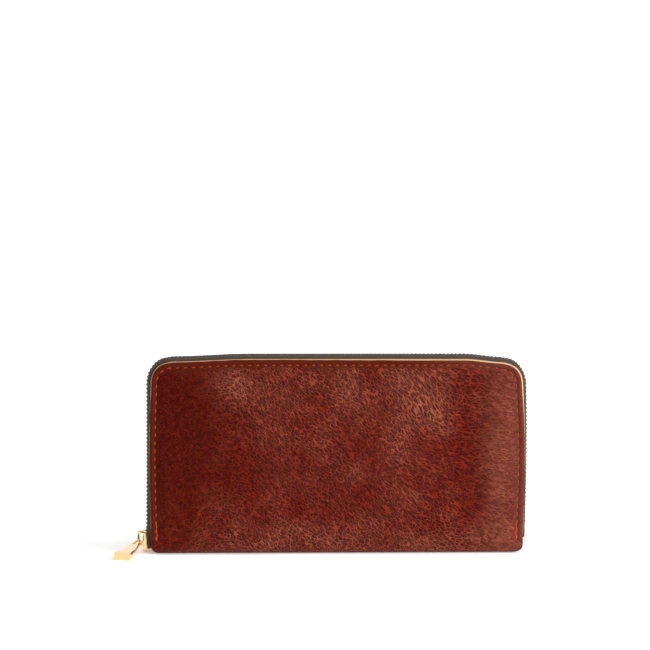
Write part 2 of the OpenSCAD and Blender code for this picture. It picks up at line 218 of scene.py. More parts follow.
def settled(points, left=BELLY_LEFT, right=BELLY_RIGHT):
    """Raises and widens points in 3-D. z grows by the crown, less a smooth step before each corner,
    which is then filled out by 0.8 mm. x grows by the belly times exp(-h * h), with h the height from
    the belly's middle."""
    x, z = points[..., 0], points[..., 2]
    high = smoothstep(z, CROWN_FROM, CROWN_TO)
    belly = np.exp(-(((z - BELLY_Z) / BELLY_H) ** 2))
    points = points.copy()
    crown = CROWN - CROWN * smoothstep(-x, 45, 86) - 1.7 * smoothstep(x, 66, 86)
    points[..., 2] += high * (crown + 0.8 * smoothstep(np.abs(x), 87, 94))
    points[..., 0] += belly * (right * smoothstep(x, 60, 92) - left * smoothstep(-x, 60, 92))
    return points


lifted = settled(np.array([[0.0, -half_d, top_z]]))[0]
print("the middle of the top edge rises by", round(float(lifted[2] - top_z), 2), "mm")


# %% The sheet's outline
# the sheet's ends are rounded by this much where they come down to the ground
FOOT_R = 4.0


def edge_distance(x, s):
    """How far a place is from the sheet's rounded outline: r - |q|, with q from the corner's centre."""
    qx, qs = np.abs(x) - (half_w - corner_r), s - (sheet_l - corner_r)
    outside = np.hypot(np.maximum(qx, 0), np.maximum(qs, 0))
    return corner_r - outside - np.minimum(np.maximum(qx, qs), 0)


def stitch_inset(x):
    """The stitch line wanders a little: 3.2 mm in at the top, 3.0 at the left and 3.7 at the right."""
    return 3.2 - 0.2 * smoothstep(-x, 80, 92) + 0.5 * smoothstep(x, 80, 92)


def outline_half(s, inset):
    """Half width of the sheet at s, its outline drawn inset mm in: the lesser of two rounded ends, each
    the straight width less r, plus the root of r * r - h * h at a height h past the start of its arc."""
    r = corner_r - inset
    up = np.clip(s - (sheet_l - corner_r), 0, r)
    at_top = half_w - corner_r + np.sqrt(np.maximum(r * r - up * up, 0))
    z = sheet_point(0.0, s, 0.0)[..., 2]
    down = np.clip(FOOT_R - z, 0, FOOT_R)
    at_foot = half_w - inset - FOOT_R + np.sqrt(np.maximum(FOOT_R**2 - down**2, 0))
    return np.minimum(at_top, at_foot)


widths = [round(float(outline_half(s, 0.0)), 1) for s in (0, 60)]
print("half width under the spine and at a cover's middle, mm:", widths)

# %% [markdown]
# ## The hide's grain and creases
# Hide isn't even: its cells are drawn out along the way it was stretched, it is smooth where it was
# pulled tight, and it creases where it has been bent. One noise texture over everything would look
# like paint. So these maps are made first, as functions of the place on the cover, and both the
# shape and the finish read them: `grain_place` turns the pattern, `crease_at` and `relief` raise
# and sink the surface, and `wax_tone_and_painted_light_at`, `smooth_at` and `rim_at` tell the finish
# where the wax is pale, smooth or pressed. `wax_tone_and_painted_light_at` also paints light and shade
# into the colour: highlight and sheen where the face bulges or rolls over, and shade where it turns away.


# %% Soft noise and round patches
def waves(x, y, length, seed, count=28):
    """Soft noise of about that wavelength: a sum of cosines in random directions, about -2 to 2."""
    rng = np.random.default_rng(seed)
    angle, phase = rng.uniform(0, 2 * np.pi, count), rng.uniform(0, 2 * np.pi, count)
    k = 2 * np.pi / (length * rng.uniform(0.7, 1.5, count))
    total = np.zeros(np.broadcast(x, y).shape)
    for a, p, f in zip(angle, phase, k):
        total += np.cos(f * (x * np.cos(a) + y * np.sin(a)) + p)
    return total / math.sqrt(count / 2)


def bump_at(x, z, x0, z0, rx, rz):
    """A soft oval patch: 1 at (x0, z0), falling off as exp(-r * r), with r = 1 at radii rx and rz."""
    return np.exp(-(((x - x0) / rx) ** 2) - ((z - z0) / rz) ** 2)


print("waves at the origin", waves(0.0, 0.0, 30, 11).round(2))

# %% Which way the grain runs
FALL_X = np.linspace(-110, 110, 221)
# how steeply the grain's lines fall: they rise a little at the left end, fall most in the middle, and
# flatten at the right end
FALL = 0.75 * smoothstep(FALL_X, -80, -20) * (1 - 0.8 * smoothstep(FALL_X, 40, 80))
FALL = FALL - 0.25 * (1 - smoothstep(FALL_X, -90, -60))
FALL = np.cumsum(FALL)
# cells lengthen from 1.3 times their height at the left to 2.3 times at the right end
STRETCH = np.cumsum(0.78 - 0.18 * smoothstep(FALL_X, 10, 50) - 0.16 * smoothstep(FALL_X, 58, 76))


def grain_place(x, z):
    """Grain coordinates in mm, sheared so that the cells lie along the hide's stretch. q is z plus the
    summed slope, so its level lines fall to the right in the middle and flatten at the right end."""
    q = z + np.interp(x, FALL_X, FALL) + 0.9 * waves(x, z, 46, 5)
    p = np.interp(x, FALL_X, STRETCH) + 0.9 * waves(x, z, 50, 6)
    return p, q


print("the grain falls by", round(FALL[-1] - FALL[0]), "mm from end to end")

# %% Creases
CREASES = [
    # from x, z to x, z, depth: a fan at the lower left, a bundle at the upper right, folds at the right
    (-76, 13, -62, 31, 0.22), (-72, 11, -66, 20, 0.12), (-50, 12, -36, 31, 0.2), (-86, 29, -77, 14, 0.12),
    (-60, 12, -47, 22, 0.1), (-30, 10, -12, 22, 0.1), (-66, 14, -48, 38, 0.1), (-47, 16, -30, 34, 0.12),
    (33, 91, 54, 69, 0.16), (40, 93, 60, 75, 0.1), (46, 90, 56, 66, 0.14), (18, 70, 46, 52, 0.1),
    (24, 40, 50, 24, 0.1), (64, 19, 91, 12, 0.16), (70, 33, 92, 27, 0.1), (66, 48, 90, 40, 0.12),
    (68, 63, 91, 55, 0.1), (-40, 62, -12, 50, 0.08), (2, 86, 26, 72, 0.08), (-20, 14, 12, 8, 0.1),
    (72, 78, 90, 74, 0.08), (54, 30, 74, 18, 0.1),
]


def crease_at(x, z):
    """How deep the long creases are, in mm: the sum of depth * exp(-(off / 0.42) ** 2), where off is the
    distance from a line that wanders and bows by 0.7 mm. Each fades at both ends, over a third."""
    total = np.zeros(np.broadcast(x, z).shape)
    bent = 0.35 * waves(x, z, 9, 31)
    for x0, z0, x1, z1, depth in CREASES:
        length = math.hypot(x1 - x0, z1 - z0)
        ux, uz = (x1 - x0) / length, (z1 - z0) / length
        t = ((x - x0) * ux + (z - z0) * uz) / length
        off = (x - x0) * uz - (z - z0) * ux + bent + 0.7 * np.sin(np.pi * np.clip(t, 0, 1))
        fade = smoothstep(t, -0.05, 0.3), 1 - smoothstep(t, 0.7, 1.05)
        total += depth * np.exp(-((off / 0.42) ** 2)) * fade[0] * fade[1]
    return total


print(len(CREASES), "long creases, up to", max(c[4] for c in CREASES), "mm deep")

# %% Relief of the face: a puffed field, a groove under the stitches, unevenness, creases and folds
# along the seam, from one stitch to the next
STITCH_PITCH = 4.1


def relief(x, s, seed):
    """Height of the leather's face over the flat, in mm. It is a sum: a field 0.95 mm high inside the
    seam, with slow waves in it; shallow valleys and creases; thin wrinkles and folds where a noise
    stretched along the grain crosses 0, exp(-(n / w) ** 2); a border that is domed between the seam and
    the edge; and a groove 0.55 mm deep, deeper at each hole. All of it fades out below the fold."""
    z = s - cover_s
    d = edge_distance(x, s)
    inset = stitch_inset(x)
    p, q = grain_place(x, z)
    inside = smoothstep(d, inset - 0.2, inset + 5.5)
    along = np.where(np.abs(x) > half_w - corner_r, z, x)
    pucker = 1 + 0.35 * np.cos(2 * np.pi * along / STITCH_PITCH)
    groove = -0.55 * pucker * np.exp(-(((d - inset) / 0.85) ** 2))
    border = 0.16 * np.sin(np.pi * np.clip(d / inset, 0, 1)) - 0.25 * (1 - smoothstep(d, 0, 1.6))
    soft = 0.95 * inside * (1 + 0.25 * waves(x, z, 60, seed))
    uneven = inside * (0.16 * waves(x, z, 24, seed + 1) + 0.05 * waves(p, q, 9, seed + 2))
    # a shallow valley before the right end's bulge, and another at the left
    valley = -1.0 * bump_at(x, z, 70, 50, 7, 42) - 0.5 * bump_at(x, z, -78, 60, 8, 40)
    crease = np.abs(waves(0.16 * p, q, 8, seed + 3))
    crease = -0.11 * np.exp(-((crease / 0.22) ** 2)) * inside
    fold = np.abs(waves(0.05 * p, q, 17, seed + 4))
    fold = -0.16 * np.exp(-((fold / 0.14) ** 2)) * inside * smoothstep(x, -40, 60)
    total = soft + uneven + inside * (valley - crease_at(x, z)) + crease + fold + border
    standing = smoothstep(s, flat_half + 0.2 * bend_l, flat_half + bend_l + 6)
    return (total + groove * smoothstep(s, flat_half + bend_l, flat_half + bend_l + 3)) * standing


print("relief at the cover's middle", relief(0.0, cover_s + 50, 20).round(2), "mm")


# %% Pressed rim, pale wax and smooth hide
def rim_at(x, z):
    """1 on the strip outside the stitches, where the leather is pressed thin, falling to 0 inside."""
    s = z + cover_s
    inset = stitch_inset(x)
    return (1 - smoothstep(edge_distance(x, s), inset + 0.1, inset + 2.2)) * smoothstep(z, 4, 12)


def wax_tone_and_painted_light_at(x, z):
    """0 where the dye is deep and 1 where it is palest: a level near 0.3 with soft waves, rising a little
    to the right. Painted light and shade are laid over it in patches, and the rim has its own level."""
    t = 0.3 + 0.0004 * x + 0.08 * waves(x, z, 30, 11) + 0.05 * waves(x, z, 13, 12)
    # paler over the upper middle
    t = t + 0.2 * smoothstep(z, 45, 80) * (1 - smoothstep(np.abs(x - 5), 40, 75))
    # painted shade at the left end, where the puffed face turns from the light
    t = t - 0.03 - 0.34 * bump_at(x, z, -84, 60, 18, 60) - 0.2 * bump_at(x, z, -56, 48, 15, 20)
    # painted highlight on the right end's bulge, and painted shade in the valley before it
    t = t + 0.7 * bump_at(x, z, 84, 50, 9, 60) - 0.4 * bump_at(x, z, 65, 48, 8, 34)
    # painted sheen at the upper left, where the face rolls over to the top, and a paler patch at the
    # upper right
    t = t + 0.5 * bump_at(x, z, -55, 86, 14, 8) + 0.35 * bump_at(x, z, 45, 74, 14, 18)
    # painted sheen along the foot, where the white floor lights the face
    t = t + 0.28 * (1 - smoothstep(z, 4, 24)) * smoothstep(x, -85, -60)
    rim = rim_at(x, z)
    # on the rim the map pales towards the right end
    t = t * (1 - rim) + (0.1 + 0.8 * smoothstep(x, 30, 88)) * rim
    return np.clip(t, 0, 1)


def smooth_at(x, z):
    """1 where the grain has been stretched smooth: patches at both ends, and half of the rim."""
    left = 1.1 * bump_at(x, z, -86, 62, 22, 42) + 0.25 * bump_at(x, z, -35, 40, 14, 12)
    return np.clip(left + bump_at(x, z, 88, 50, 14, 60) + 0.5 * rim_at(x, z), 0, 1)


print("tone at the left and right ends", [round(float(wax_tone_and_painted_light_at(x, 50.0)), 2) for x in (-80.0, 84.0)])

# %% [markdown]
# ## Making a finish
# A finish is a Principled shader whose inputs come from small nodes. Blender's editor draws them as
# boxes and wires. In a script one helper is enough: `add` makes a node, sets it up, links what it
# is given and hands back an output for the next one. Sockets go by name or by number. In a Math
# node 0, 1 and 2 are its numbers; in a Map Range 0 is the value, 1 and 2 what it runs from, 3 and 4
# what it runs to; in a Mix 0 is the share, 6 and 7 the two colours, and output 2 the mixed one.
# Colours are written as sRGB hex, as a screen shows them, and the shader wants linear light, so
# `linear` turns them.


# %% Colours and nodes
def linear(code):
    """An sRGB hex colour as linear RGBA."""
    c = [int(code[i : i + 2], 16) / 255 for i in (1, 3, 5)]
    return [x / 12.92 if x <= 0.04045 else ((x + 0.055) / 1.055) ** 2.4 for x in c] + [1]


def add(tree, kind, inputs=None, out=0, **settings):
    """Adds a node with its settings. Each input is a value, or another node's output to link it to.
    Returns the output asked for, by its number or name."""
    n = tree.nodes.new("ShaderNode" + kind)
    for key, value in settings.items():
        setattr(n, key, value)
    for key, value in (inputs or {}).items():
        if isinstance(value, bpy.types.NodeSocket):
            tree.links.new(value, n.inputs[key])
        else:
            n.inputs[key].default_value = value
    return n.outputs[out] if n.outputs else n


def new_finish(name):
    """An empty material and its node tree."""
    m = bpy.data.materials.new(name)
    m.use_nodes = True
    m.node_tree.nodes.clear()
    return m, m.node_tree


print("#bd6a52 in linear light", [round(c, 3) for c in linear("#bd6a52")])

# %% [markdown]
# ## Waxed cowhide
# The covers are waxed pull-up leather: dark red-brown in the pits of its grain, with a net of paler
# lines where bending has pulled the wax up. A flat colour with noise in the bump would miss that
# net, because its lines differ in colour as well as in height. Voronoi cells give it: the distance
# to a cell's edge is the net, and the distance to its middle is the small dome between the lines.
# The "grain" UV map draws the cells out along the hide, and the attributes say where it is pale,
# smooth, creased or pressed flat. The pale map also carries painted light and shade: highlight and
# sheen where the cover bulges, and shade where it turns away.


# %% Outer leather: waxed pull-up cowhide, pebbled, with painted sheen where it bulges
def waxed_cowhide():
    m, t = new_finish("waxed_cognac_leather")
    uv = add(t, "UVMap", uv_map="grain")
    wax_tone_and_painted_light = add(t, "Attribute", out="Fac", attribute_name="wax_tone_and_painted_light")
    smooth = add(t, "Attribute", out="Fac", attribute_name="smooth")
    crease = add(t, "Attribute", out="Fac", attribute_name="crease")
    rim = add(t, "Attribute", out="Fac", attribute_name="rim")
    # the cells wander by up to 0.75 mm, so that none stand in rows
    wander = add(t, "TexNoise", {"Vector": uv, "Scale": 0.28, "Detail": 2.0}, out="Color")
    wander = add(t, "VectorMath", {0: wander, 1: (0.5, 0.5, 0.5)}, operation="SUBTRACT")
    wander = add(t, "VectorMath", {0: wander, 1: (1.5, 1.5, 0)}, operation="MULTIPLY")
    place = add(t, "VectorMath", {0: uv, 1: wander}, operation="ADD")
    # the net: cells 1.6 mm apart across the hide's stretch, all but gone where it is smooth
    cell = {"Vector": place, "Scale": 0.63, "Randomness": 0.85}
    edge = add(t, "TexVoronoi", cell, feature="DISTANCE_TO_EDGE")
    body = add(t, "TexVoronoi", cell)
    net = add(t, "MapRange", {0: edge, 1: 0.13, 2: 0.02}, interpolation_type="SMOOTHSTEP")
    kept = add(t, "Math", {0: smooth, 1: -0.85, 2: 1.0}, operation="MULTIPLY_ADD")
    net = add(t, "Math", {0: net, 1: kept}, operation="MULTIPLY")
    # finer cells, drawn out more, are all that is left where the hide is stretched smooth
    small = add(t, "VectorMath", {0: place, 1: (1.0, 1.6, 1)}, operation="MULTIPLY")
    fine = {"Vector": small, "Scale": 0.8, "Randomness": 1.0}
    fine = add(t, "TexVoronoi", fine, feature="DISTANCE_TO_EDGE")
    fine = add(t, "MapRange", {0: fine, 1: 0.18, 2: 0.0}, interpolation_type="SMOOTHSTEP")
    kept = add(t, "Math", {0: smooth, 1: 0.6, 2: 0.3}, operation="MULTIPLY_ADD")
    fine = add(t, "Math", {0: fine, 1: kept}, operation="MULTIPLY")
    net = add(t, "Math", {0: net, 1: fine}, operation="MAXIMUM")
    # the net comes and goes: some lines are pulled open, others closed
    vary = add(t, "TexNoise", {"Vector": place, "Scale": 0.45, "Detail": 2.0})
    vary = {0: vary, 1: 0.32, 2: 0.6, 3: 0.35, 4: 1.0}
    vary = add(t, "MapRange", vary, interpolation_type="SMOOTHSTEP")
    net = add(t, "Math", {0: net, 1: vary}, operation="MULTIPLY")
    contrast = add(t, "Math", {0: smooth, 1: -0.35, 2: 1.0}, operation="MULTIPLY_ADD")
    share = add(t, "Math", {0: net, 1: contrast}, operation="MULTIPLY")
    # pale streaks where the wax has cracked, drawn out along the stretch, in patches
    long = add(t, "VectorMath", {0: place, 1: (0.12, 0.95, 1)}, operation="MULTIPLY")
    streak = add(t, "TexNoise", {"Vector": long, "Scale": 1.0, "Detail": 3.0, "Roughness": 0.65})
    streak = add(t, "MapRange", {0: streak, 1: 0.5, 2: 0.66}, interpolation_type="SMOOTHSTEP")
    patch = add(t, "TexNoise", {"Vector": uv, "Scale": 0.06, "Detail": 2.0})
    patch = add(t, "MapRange", {0: patch, 1: 0.4, 2: 0.65}, interpolation_type="SMOOTHSTEP")
    # the streaks grow with the pale map, so they are strongest under its painted sheen and highlight
    glow = add(t, "Math", {0: contrast, 1: wax_tone_and_painted_light}, operation="MULTIPLY")
    glow = add(t, "Math", {0: patch, 1: glow}, operation="MULTIPLY")
    glow = add(t, "Math", {0: streak, 1: glow}, operation="MULTIPLY")
    creased = add(t, "Math", {0: crease, 1: 0.6}, operation="MULTIPLY")
    glow = add(t, "Math", {0: glow, 1: creased}, operation="MAXIMUM")
    # colours of the pits and of the net, deep or pale; their pale, pinkish ends show the painted sheen
    # and highlight. The colour pales faster than its map rises
    pale = add(t, "Math", {0: wax_tone_and_painted_light, 1: 1.5}, operation="POWER")
    deep = {0: pale, 6: linear("#3e0500"), 7: linear("#561c12")}
    deep = add(t, "Mix", deep, out=2, data_type="RGBA")
    # where the hide is smooth and pale, most of all on the right end's painted highlight, the pits turn
    # pinker: painted sheen
    even = add(t, "Math", {0: smooth, 1: pale}, operation="MULTIPLY")
    deep = add(t, "Mix", {0: even, 6: deep, 7: linear("#6c2c22")}, out=2, data_type="RGBA")
    lit = add(t, "Mix", {0: pale, 6: linear("#8c2205"), 7: linear("#bd6a52")}, out=2, data_type="RGBA")
    colour = add(t, "Mix", {0: share, 6: deep, 7: lit}, out=2, data_type="RGBA")
    pressed = {0: wax_tone_and_painted_light, 6: linear("#641b04"), 7: linear("#70372c")}
    pressed = add(t, "Mix", pressed, out=2, data_type="RGBA")
    at_rim = add(t, "Math", {0: rim, 1: 0.85}, operation="MULTIPLY")
    colour = add(t, "Mix", {0: at_rim, 6: colour, 7: pressed}, out=2, data_type="RGBA")
    glowing = add(t, "Math", {0: glow, 1: 0.7}, operation="MULTIPLY")
    colour = add(t, "Mix", {0: glowing, 6: colour, 7: linear("#94452f")}, out=2, data_type="RGBA")
    # the lines of the net are waxed, and a touch glossier than the pits
    rough = add(t, "Math", {0: net, 1: -0.05, 2: 0.36}, operation="MULTIPLY_ADD")
    # heights for the bump: a dome in each cell, ridges along the net, and the streaks a little proud
    dome = add(t, "MapRange", {0: body, 1: 0.6, 2: 0.1}, interpolation_type="SMOOTHSTEP")
    dome = add(t, "Math", {0: dome, 1: contrast}, operation="MULTIPLY")
    ridge = add(t, "Math", {0: share, 1: 0.5}, operation="MULTIPLY")
    height = add(t, "Math", {0: dome, 1: 0.7, 2: ridge}, operation="MULTIPLY_ADD")
    height = add(t, "Math", {0: glow, 1: 0.5, 2: height}, operation="MULTIPLY_ADD")
    bump = add(t, "Bump", {"Height": height, "Strength": 1.0, "Distance": 0.0005})
    looks = {"Base Color": colour, "Roughness": rough, "Normal": bump, "Specular IOR Level": 0.08}
    add(t, "OutputMaterial", {"Surface": add(t, "BsdfPrincipled", looks)})
    return m


WAXED_COWHIDE = waxed_cowhide()
print(WAXED_COWHIDE.name, "has", len(WAXED_COWHIDE.node_tree.nodes), "nodes")

# %% [markdown]
# ## Plain leather
# The cut edge, the flesh side and the pocket leather are quieter: a close grain and a cloudy dye.
# They differ only in colour, roughness and depth, so one function makes all three. Its pattern
# reads Object coordinates, which are the frame's own metres, so it needs no UV map and never slides
# on the piece.


# %% Raw edge, flesh side and pocket leather
def object_mm(tree):
    """Object coordinates in mm."""
    metres = add(tree, "TexCoord", out="Object")
    return add(tree, "VectorMath", {0: metres, 1: (1000, 1000, 1000)}, operation="MULTIPLY")


def plain_leather(name, dark, light, roughness, depth):
    """Leather with a fine grain 0.7 mm apart: light between the cells, over a soft cloud."""
    m, t = new_finish(name)
    mm = object_mm(t)
    cells = add(t, "TexVoronoi", {"Vector": mm, "Scale": 1.4})
    cloud = add(t, "TexNoise", {"Vector": mm, "Scale": 0.08, "Detail": 3.0})
    cloud = add(t, "Math", {0: cloud, 1: 0.5}, operation="MULTIPLY")
    share = add(t, "MapRange", {0: cells, 1: 0.1, 2: 0.6}, interpolation_type="SMOOTHSTEP")
    share = add(t, "Math", {0: share, 1: 0.5, 2: cloud}, operation="MULTIPLY_ADD")
    colour = add(t, "Mix", {0: share, 6: linear(dark), 7: linear(light)}, out=2, data_type="RGBA")
    bump = add(t, "Bump", {"Height": cells, "Strength": 0.6, "Distance": depth})
    looks = {"Base Color": colour, "Roughness": roughness, "Normal": bump}
    add(t, "OutputMaterial", {"Surface": add(t, "BsdfPrincipled", looks)})
    return m


# the cut edge is left raw: pale, dull vegetable-tanned fibre
RAW_EDGE = plain_leather("raw_cut_edge", "#c58f66", "#e6bb8e", 0.75, 0.00006)
# the flesh side is dyed through and suede-like
FLESH_SIDE = plain_leather("flesh_side", "#3a1810", "#5a2a1c", 0.85, 0.0001)
# thin calf, finished smooth, with a low shine
POCKET_CALF = plain_leather("pocket_calf", "#4a1a10", "#6e2e1e", 0.5, 0.00008)
print("plain leathers:", RAW_EDGE.name, FLESH_SIDE.name, POCKET_CALF.name)

# %% [markdown]
# ## The covers
# A cover has a face, a rolled arris, a cut edge and a back. Solidify would give the thickness but
# not the roll, so the face's fine grid is followed by rings round its border, each a little further
# out or down, and a coarse inner face closes the shell. Of its nine rings, four are the cut edge,
# with its own finish. The grid is fine enough to hold the stitch groove and the creases, so they
# are real shape and also show in the bare mesh.

# %% Grid of the face
# the grid stops this far inside the outline, and the rings do the rest
GRID_INSET = 1.4
# within this distance of the ends the columns are closer, for the stitch groove
SEAM_ZONE = 9.0
FINE, COARSE = 0.42, 0.66


def spaced(stops, steps):
    """Numbers through the stops, evenly spaced between each pair, about the given steps apart."""
    parts = []
    for a, b, h in zip(stops, stops[1:], steps):
        parts.append(np.linspace(a, b, max(2, round((b - a) / h) + 1))[:-1])
    return np.append(np.concatenate(parts), stops[-1])


def face_grid():
    """Places (x, s) on the face, one row for each s. The columns are shares of the outline's half width
    at that s, so that they follow the rounded corners."""
    edge = half_w - GRID_INSET
    zone = SEAM_ZONE / edge
    xs = spaced([-1, -1 + zone, 1 - zone, 1], [FINE / edge, COARSE / edge, FINE / edge])
    r = corner_r - GRID_INSET
    turn = r * (1 - np.cos(np.linspace(0, math.pi / 2, 25)))[::-1]
    end = sheet_l - GRID_INSET
    s = spaced([0, flat_half, flat_half + bend_l, end - r], [1.2, 0.6, 0.62])
    s = np.concatenate([s[:-1], end - turn])
    return xs[None, :] * outline_half(s, GRID_INSET)[:, None], np.repeat(s[:, None], len(xs), 1)


print("the face's grid is", face_grid()[0].shape)


# %% Border rings
def outward_at(x, s):
    """Which way is out at places on the border: along x at the ends, along s at the top, and away from
    the corner's centre between them."""
    inner_x, inner_s = half_w - corner_r, sheet_l - corner_r
    cx, cs = x - np.sign(x) * inner_x, s - inner_s
    size = np.maximum(np.hypot(cx, cs), 1e-9)
    turning = (s > inner_s) & (np.abs(x) > inner_x - 1e-6)
    on_top = np.abs(x) < inner_x
    out_x = np.where(np.abs(x) >= inner_x - 1e-6, np.sign(x), 0.0)
    out_x = np.where(on_top, 0, np.where(turning, cx / size, out_x))
    return out_x, np.where(on_top, 1, np.where(turning, cs / size, 0.0))


def edge_rings(x, s, seed):
    """How far in from the outline, and how far below the face, each ring lies. The raw edge shows most
    along the top's right half, and its width is uneven."""
    show = 0.22 + 0.38 * smoothstep(x, -60, 70) * smoothstep(s, sheet_l - 45, sheet_l - 8)
    show = show + 0.1 * smoothstep(s, sheet_l - 30, sheet_l - 5)
    show = show + 0.04 * waves(x, s, 30, seed + 9) + 0.03 * waves(x, s, 7, seed + 10)
    show = show * smoothstep(s, flat_half + bend_l, flat_half + bend_l + 5)
    return [
        (show + 0.7, 0.02), (show + 0.35, 0.06), (show + 0.1, 0.16), (show, 0.26),
        (show - 0.02, 0.28), (0.55 * show, 0.7), (0.05 + 0 * show, 1.15), (0.0 * show, 1.3),
        (0.12 + 0 * show, leather_t),
    ]


# rings 0 to 3 belong to the dyed face and 4 to 7 to the cut edge. The last is on the flesh side
FACE_RINGS, EDGE_RINGS = 4, 8
print("out at the top right corner", [round(float(c), 2) for c in outward_at(half_w - 3, sheet_l - 3)])


# %% One cover's shell
def cover_shell(seed):
    """Half of the sheet as a closed shell, on the front's side, with the wrinkles of its seed. Returns
    its points, their flat places, its faces and their finishes."""
    gx, gs = face_grid()
    rows, columns = gx.shape
    # the border of the grid: up the left side, over the top and down the right side
    index = np.arange(rows * columns).reshape(rows, columns)
    border = np.concatenate([index[:, 0], index[-1, 1:-1], index[::-1, -1]])
    bx, bs = gx.ravel()[border], gs.ravel()[border]
    out_x, out_s = outward_at(bx, bs)
    points = [sheet_point(gx, gs, relief(gx, gs, seed)).reshape(-1, 3)]
    flat = [np.stack([gx, gs], -1).reshape(-1, 2)]
    rings = edge_rings(bx, bs, seed)
    for inset, depth in rings:
        rx, rs = bx + out_x * (GRID_INSET - inset), bs + out_s * (GRID_INSET - inset)
        share = np.clip(1 - depth / leather_t, 0, 1)
        points.append(sheet_point(rx, rs, relief(rx, rs, seed) * share - depth))
        flat.append(np.stack([rx, rs], -1))
    first, n = rows * columns, len(border)
    faces = quads(rows, columns).tolist()
    ids = [0] * len(faces)
    previous = border
    for ring in range(len(rings)):
        here = first + ring * n + np.arange(n)
        faces += np.stack([previous[:-1], here[:-1], here[1:], previous[1:]], -1).tolist()
        ids += [0 if ring < FACE_RINGS else 1 if ring < EDGE_RINGS else 2] * (n - 1)
        previous = here
    # the inner face: one strip across each row, and one face over the corners
    left, right = previous[:rows], previous[::-1][:rows]
    faces += np.stack([left[:-1], right[:-1], right[1:], left[1:]], -1)[:, ::-1].tolist()
    faces.append(previous[rows - 1 : n - rows + 1].tolist()[::-1])
    # the cut at the middle of the spine, where the two halves of the sheet meet
    ends = [first + k * n for k in range(len(rings))]
    faces.append((index[0].tolist() + [e + n - 1 for e in ends] + ends[::-1])[::-1])
    ids += [2] * (rows + 1)
    return np.concatenate(points), np.concatenate(flat), faces, ids


insets = [round(float(inset), 2) for inset, _ in edge_rings(0.0, sheet_l, 20)]
print("the rings at the top's middle lie this far in, mm:", insets)

# %% [markdown]
# The finish reads five maps. "grain" is a UV map: two numbers for each corner of a face. The other
# four are attributes: one number for each point. Both are written with `foreach_set`, all points at
# once.


# %% Both covers
FRONT_SEED, BACK_SEED = 20, 60


def uv_map(obj, name, per_point):
    """Writes a UV map from one (u, v) for each point."""
    layer = obj.data.uv_layers.new(name=name)
    loops = np.zeros(len(obj.data.loops), np.int32)
    obj.data.loops.foreach_get("vertex_index", loops)
    layer.data.foreach_set("uv", np.asarray(per_point, np.float32)[loops].ravel())


def attribute(obj, name, values):
    """Writes one number for each point."""
    layer = obj.data.attributes.new(name, "FLOAT", "POINT")
    layer.data.foreach_set("value", np.asarray(values, np.float32))


def leather_cover(name, back):
    """A cover's shell, turned to the other side for the back, with the maps that its finish reads."""
    points, flat, faces, ids = cover_shell(BACK_SEED if back else FRONT_SEED)
    points = settled(points)
    if back:
        points[:, 1] *= -1
    obj = outwards(build(name, points, faces, [WAXED_COWHIDE, RAW_EDGE, FLESH_SIDE], ids))
    x, z = flat[:, 0], flat[:, 1] - cover_s
    # the back is cut from another part of the hide
    uv_map(obj, "grain", np.stack(grain_place(x, z), -1) + (150.0 if back else 0.0))
    attribute(obj, "rim", rim_at(x, z))
    attribute(obj, "wax_tone_and_painted_light", wax_tone_and_painted_light_at(x, z))
    attribute(obj, "smooth", smooth_at(x, z))
    attribute(obj, "crease", np.clip(crease_at(x, z) * 5, 0, 1))
    print(name, "points", len(points), "faces", len(faces))
    return obj


for label, back in (("front", False), ("back", True)):
    leather = leather_cover(label + "_leather", back)
    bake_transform(leather)
    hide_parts(label + "_panel", "spine")

# %% [markdown]
# ## Waxed thread
# The seam is a lockstitch in thick waxed thread: on each side it shows as short dashes whose ends
# dive into their holes. A dashed texture would lie flat. Each stitch here is a small bowed rod set
# on the relief of the leather, so it sinks in the groove. At the foot of each end the seam is sewn
# back over itself, which leaves a little tangle.


# %% Thread: linen, twisted and waxed: dull orange, with painted shade between its strands and painted highlight on them, and a low shine
def twisted_thread(name, dark, light):
    """Waxed thread: strands 0.7 mm apart, as coarse as they need to be to show, wound at a slant."""
    m, t = new_finish(name)
    x, y, z = add(t, "SeparateXYZ", {0: object_mm(t)}).node.outputs
    slant = add(t, "Math", {0: x, 1: z}, operation="ADD")
    slant = add(t, "Math", {0: slant, 1: y}, operation="ADD")
    strand = add(t, "Math", {0: slant, 1: 2 * math.pi / 0.7}, operation="MULTIPLY")
    strand = add(t, "Math", {0: strand}, operation="SINE")
    strand = add(t, "Math", {0: strand, 1: 0.5, 2: 0.5}, operation="MULTIPLY_ADD")
    # the strands' height also sets their colour: painted shade in the grooves, painted highlight on the
    # crests
    colour = add(t, "Mix", {0: strand, 6: linear(dark), 7: linear(light)}, out=2, data_type="RGBA")
    bump = add(t, "Bump", {"Height": strand, "Strength": 0.6, "Distance": 0.00008})
    looks = {"Base Color": colour, "Roughness": 0.5, "Specular IOR Level": 0.2, "Normal": bump}
    add(t, "OutputMaterial", {"Surface": add(t, "BsdfPrincipled", looks)})
    return m


THREAD = twisted_thread("waxed_orange_thread", "#b82e04", "#cf5c2a")
print(THREAD.name)


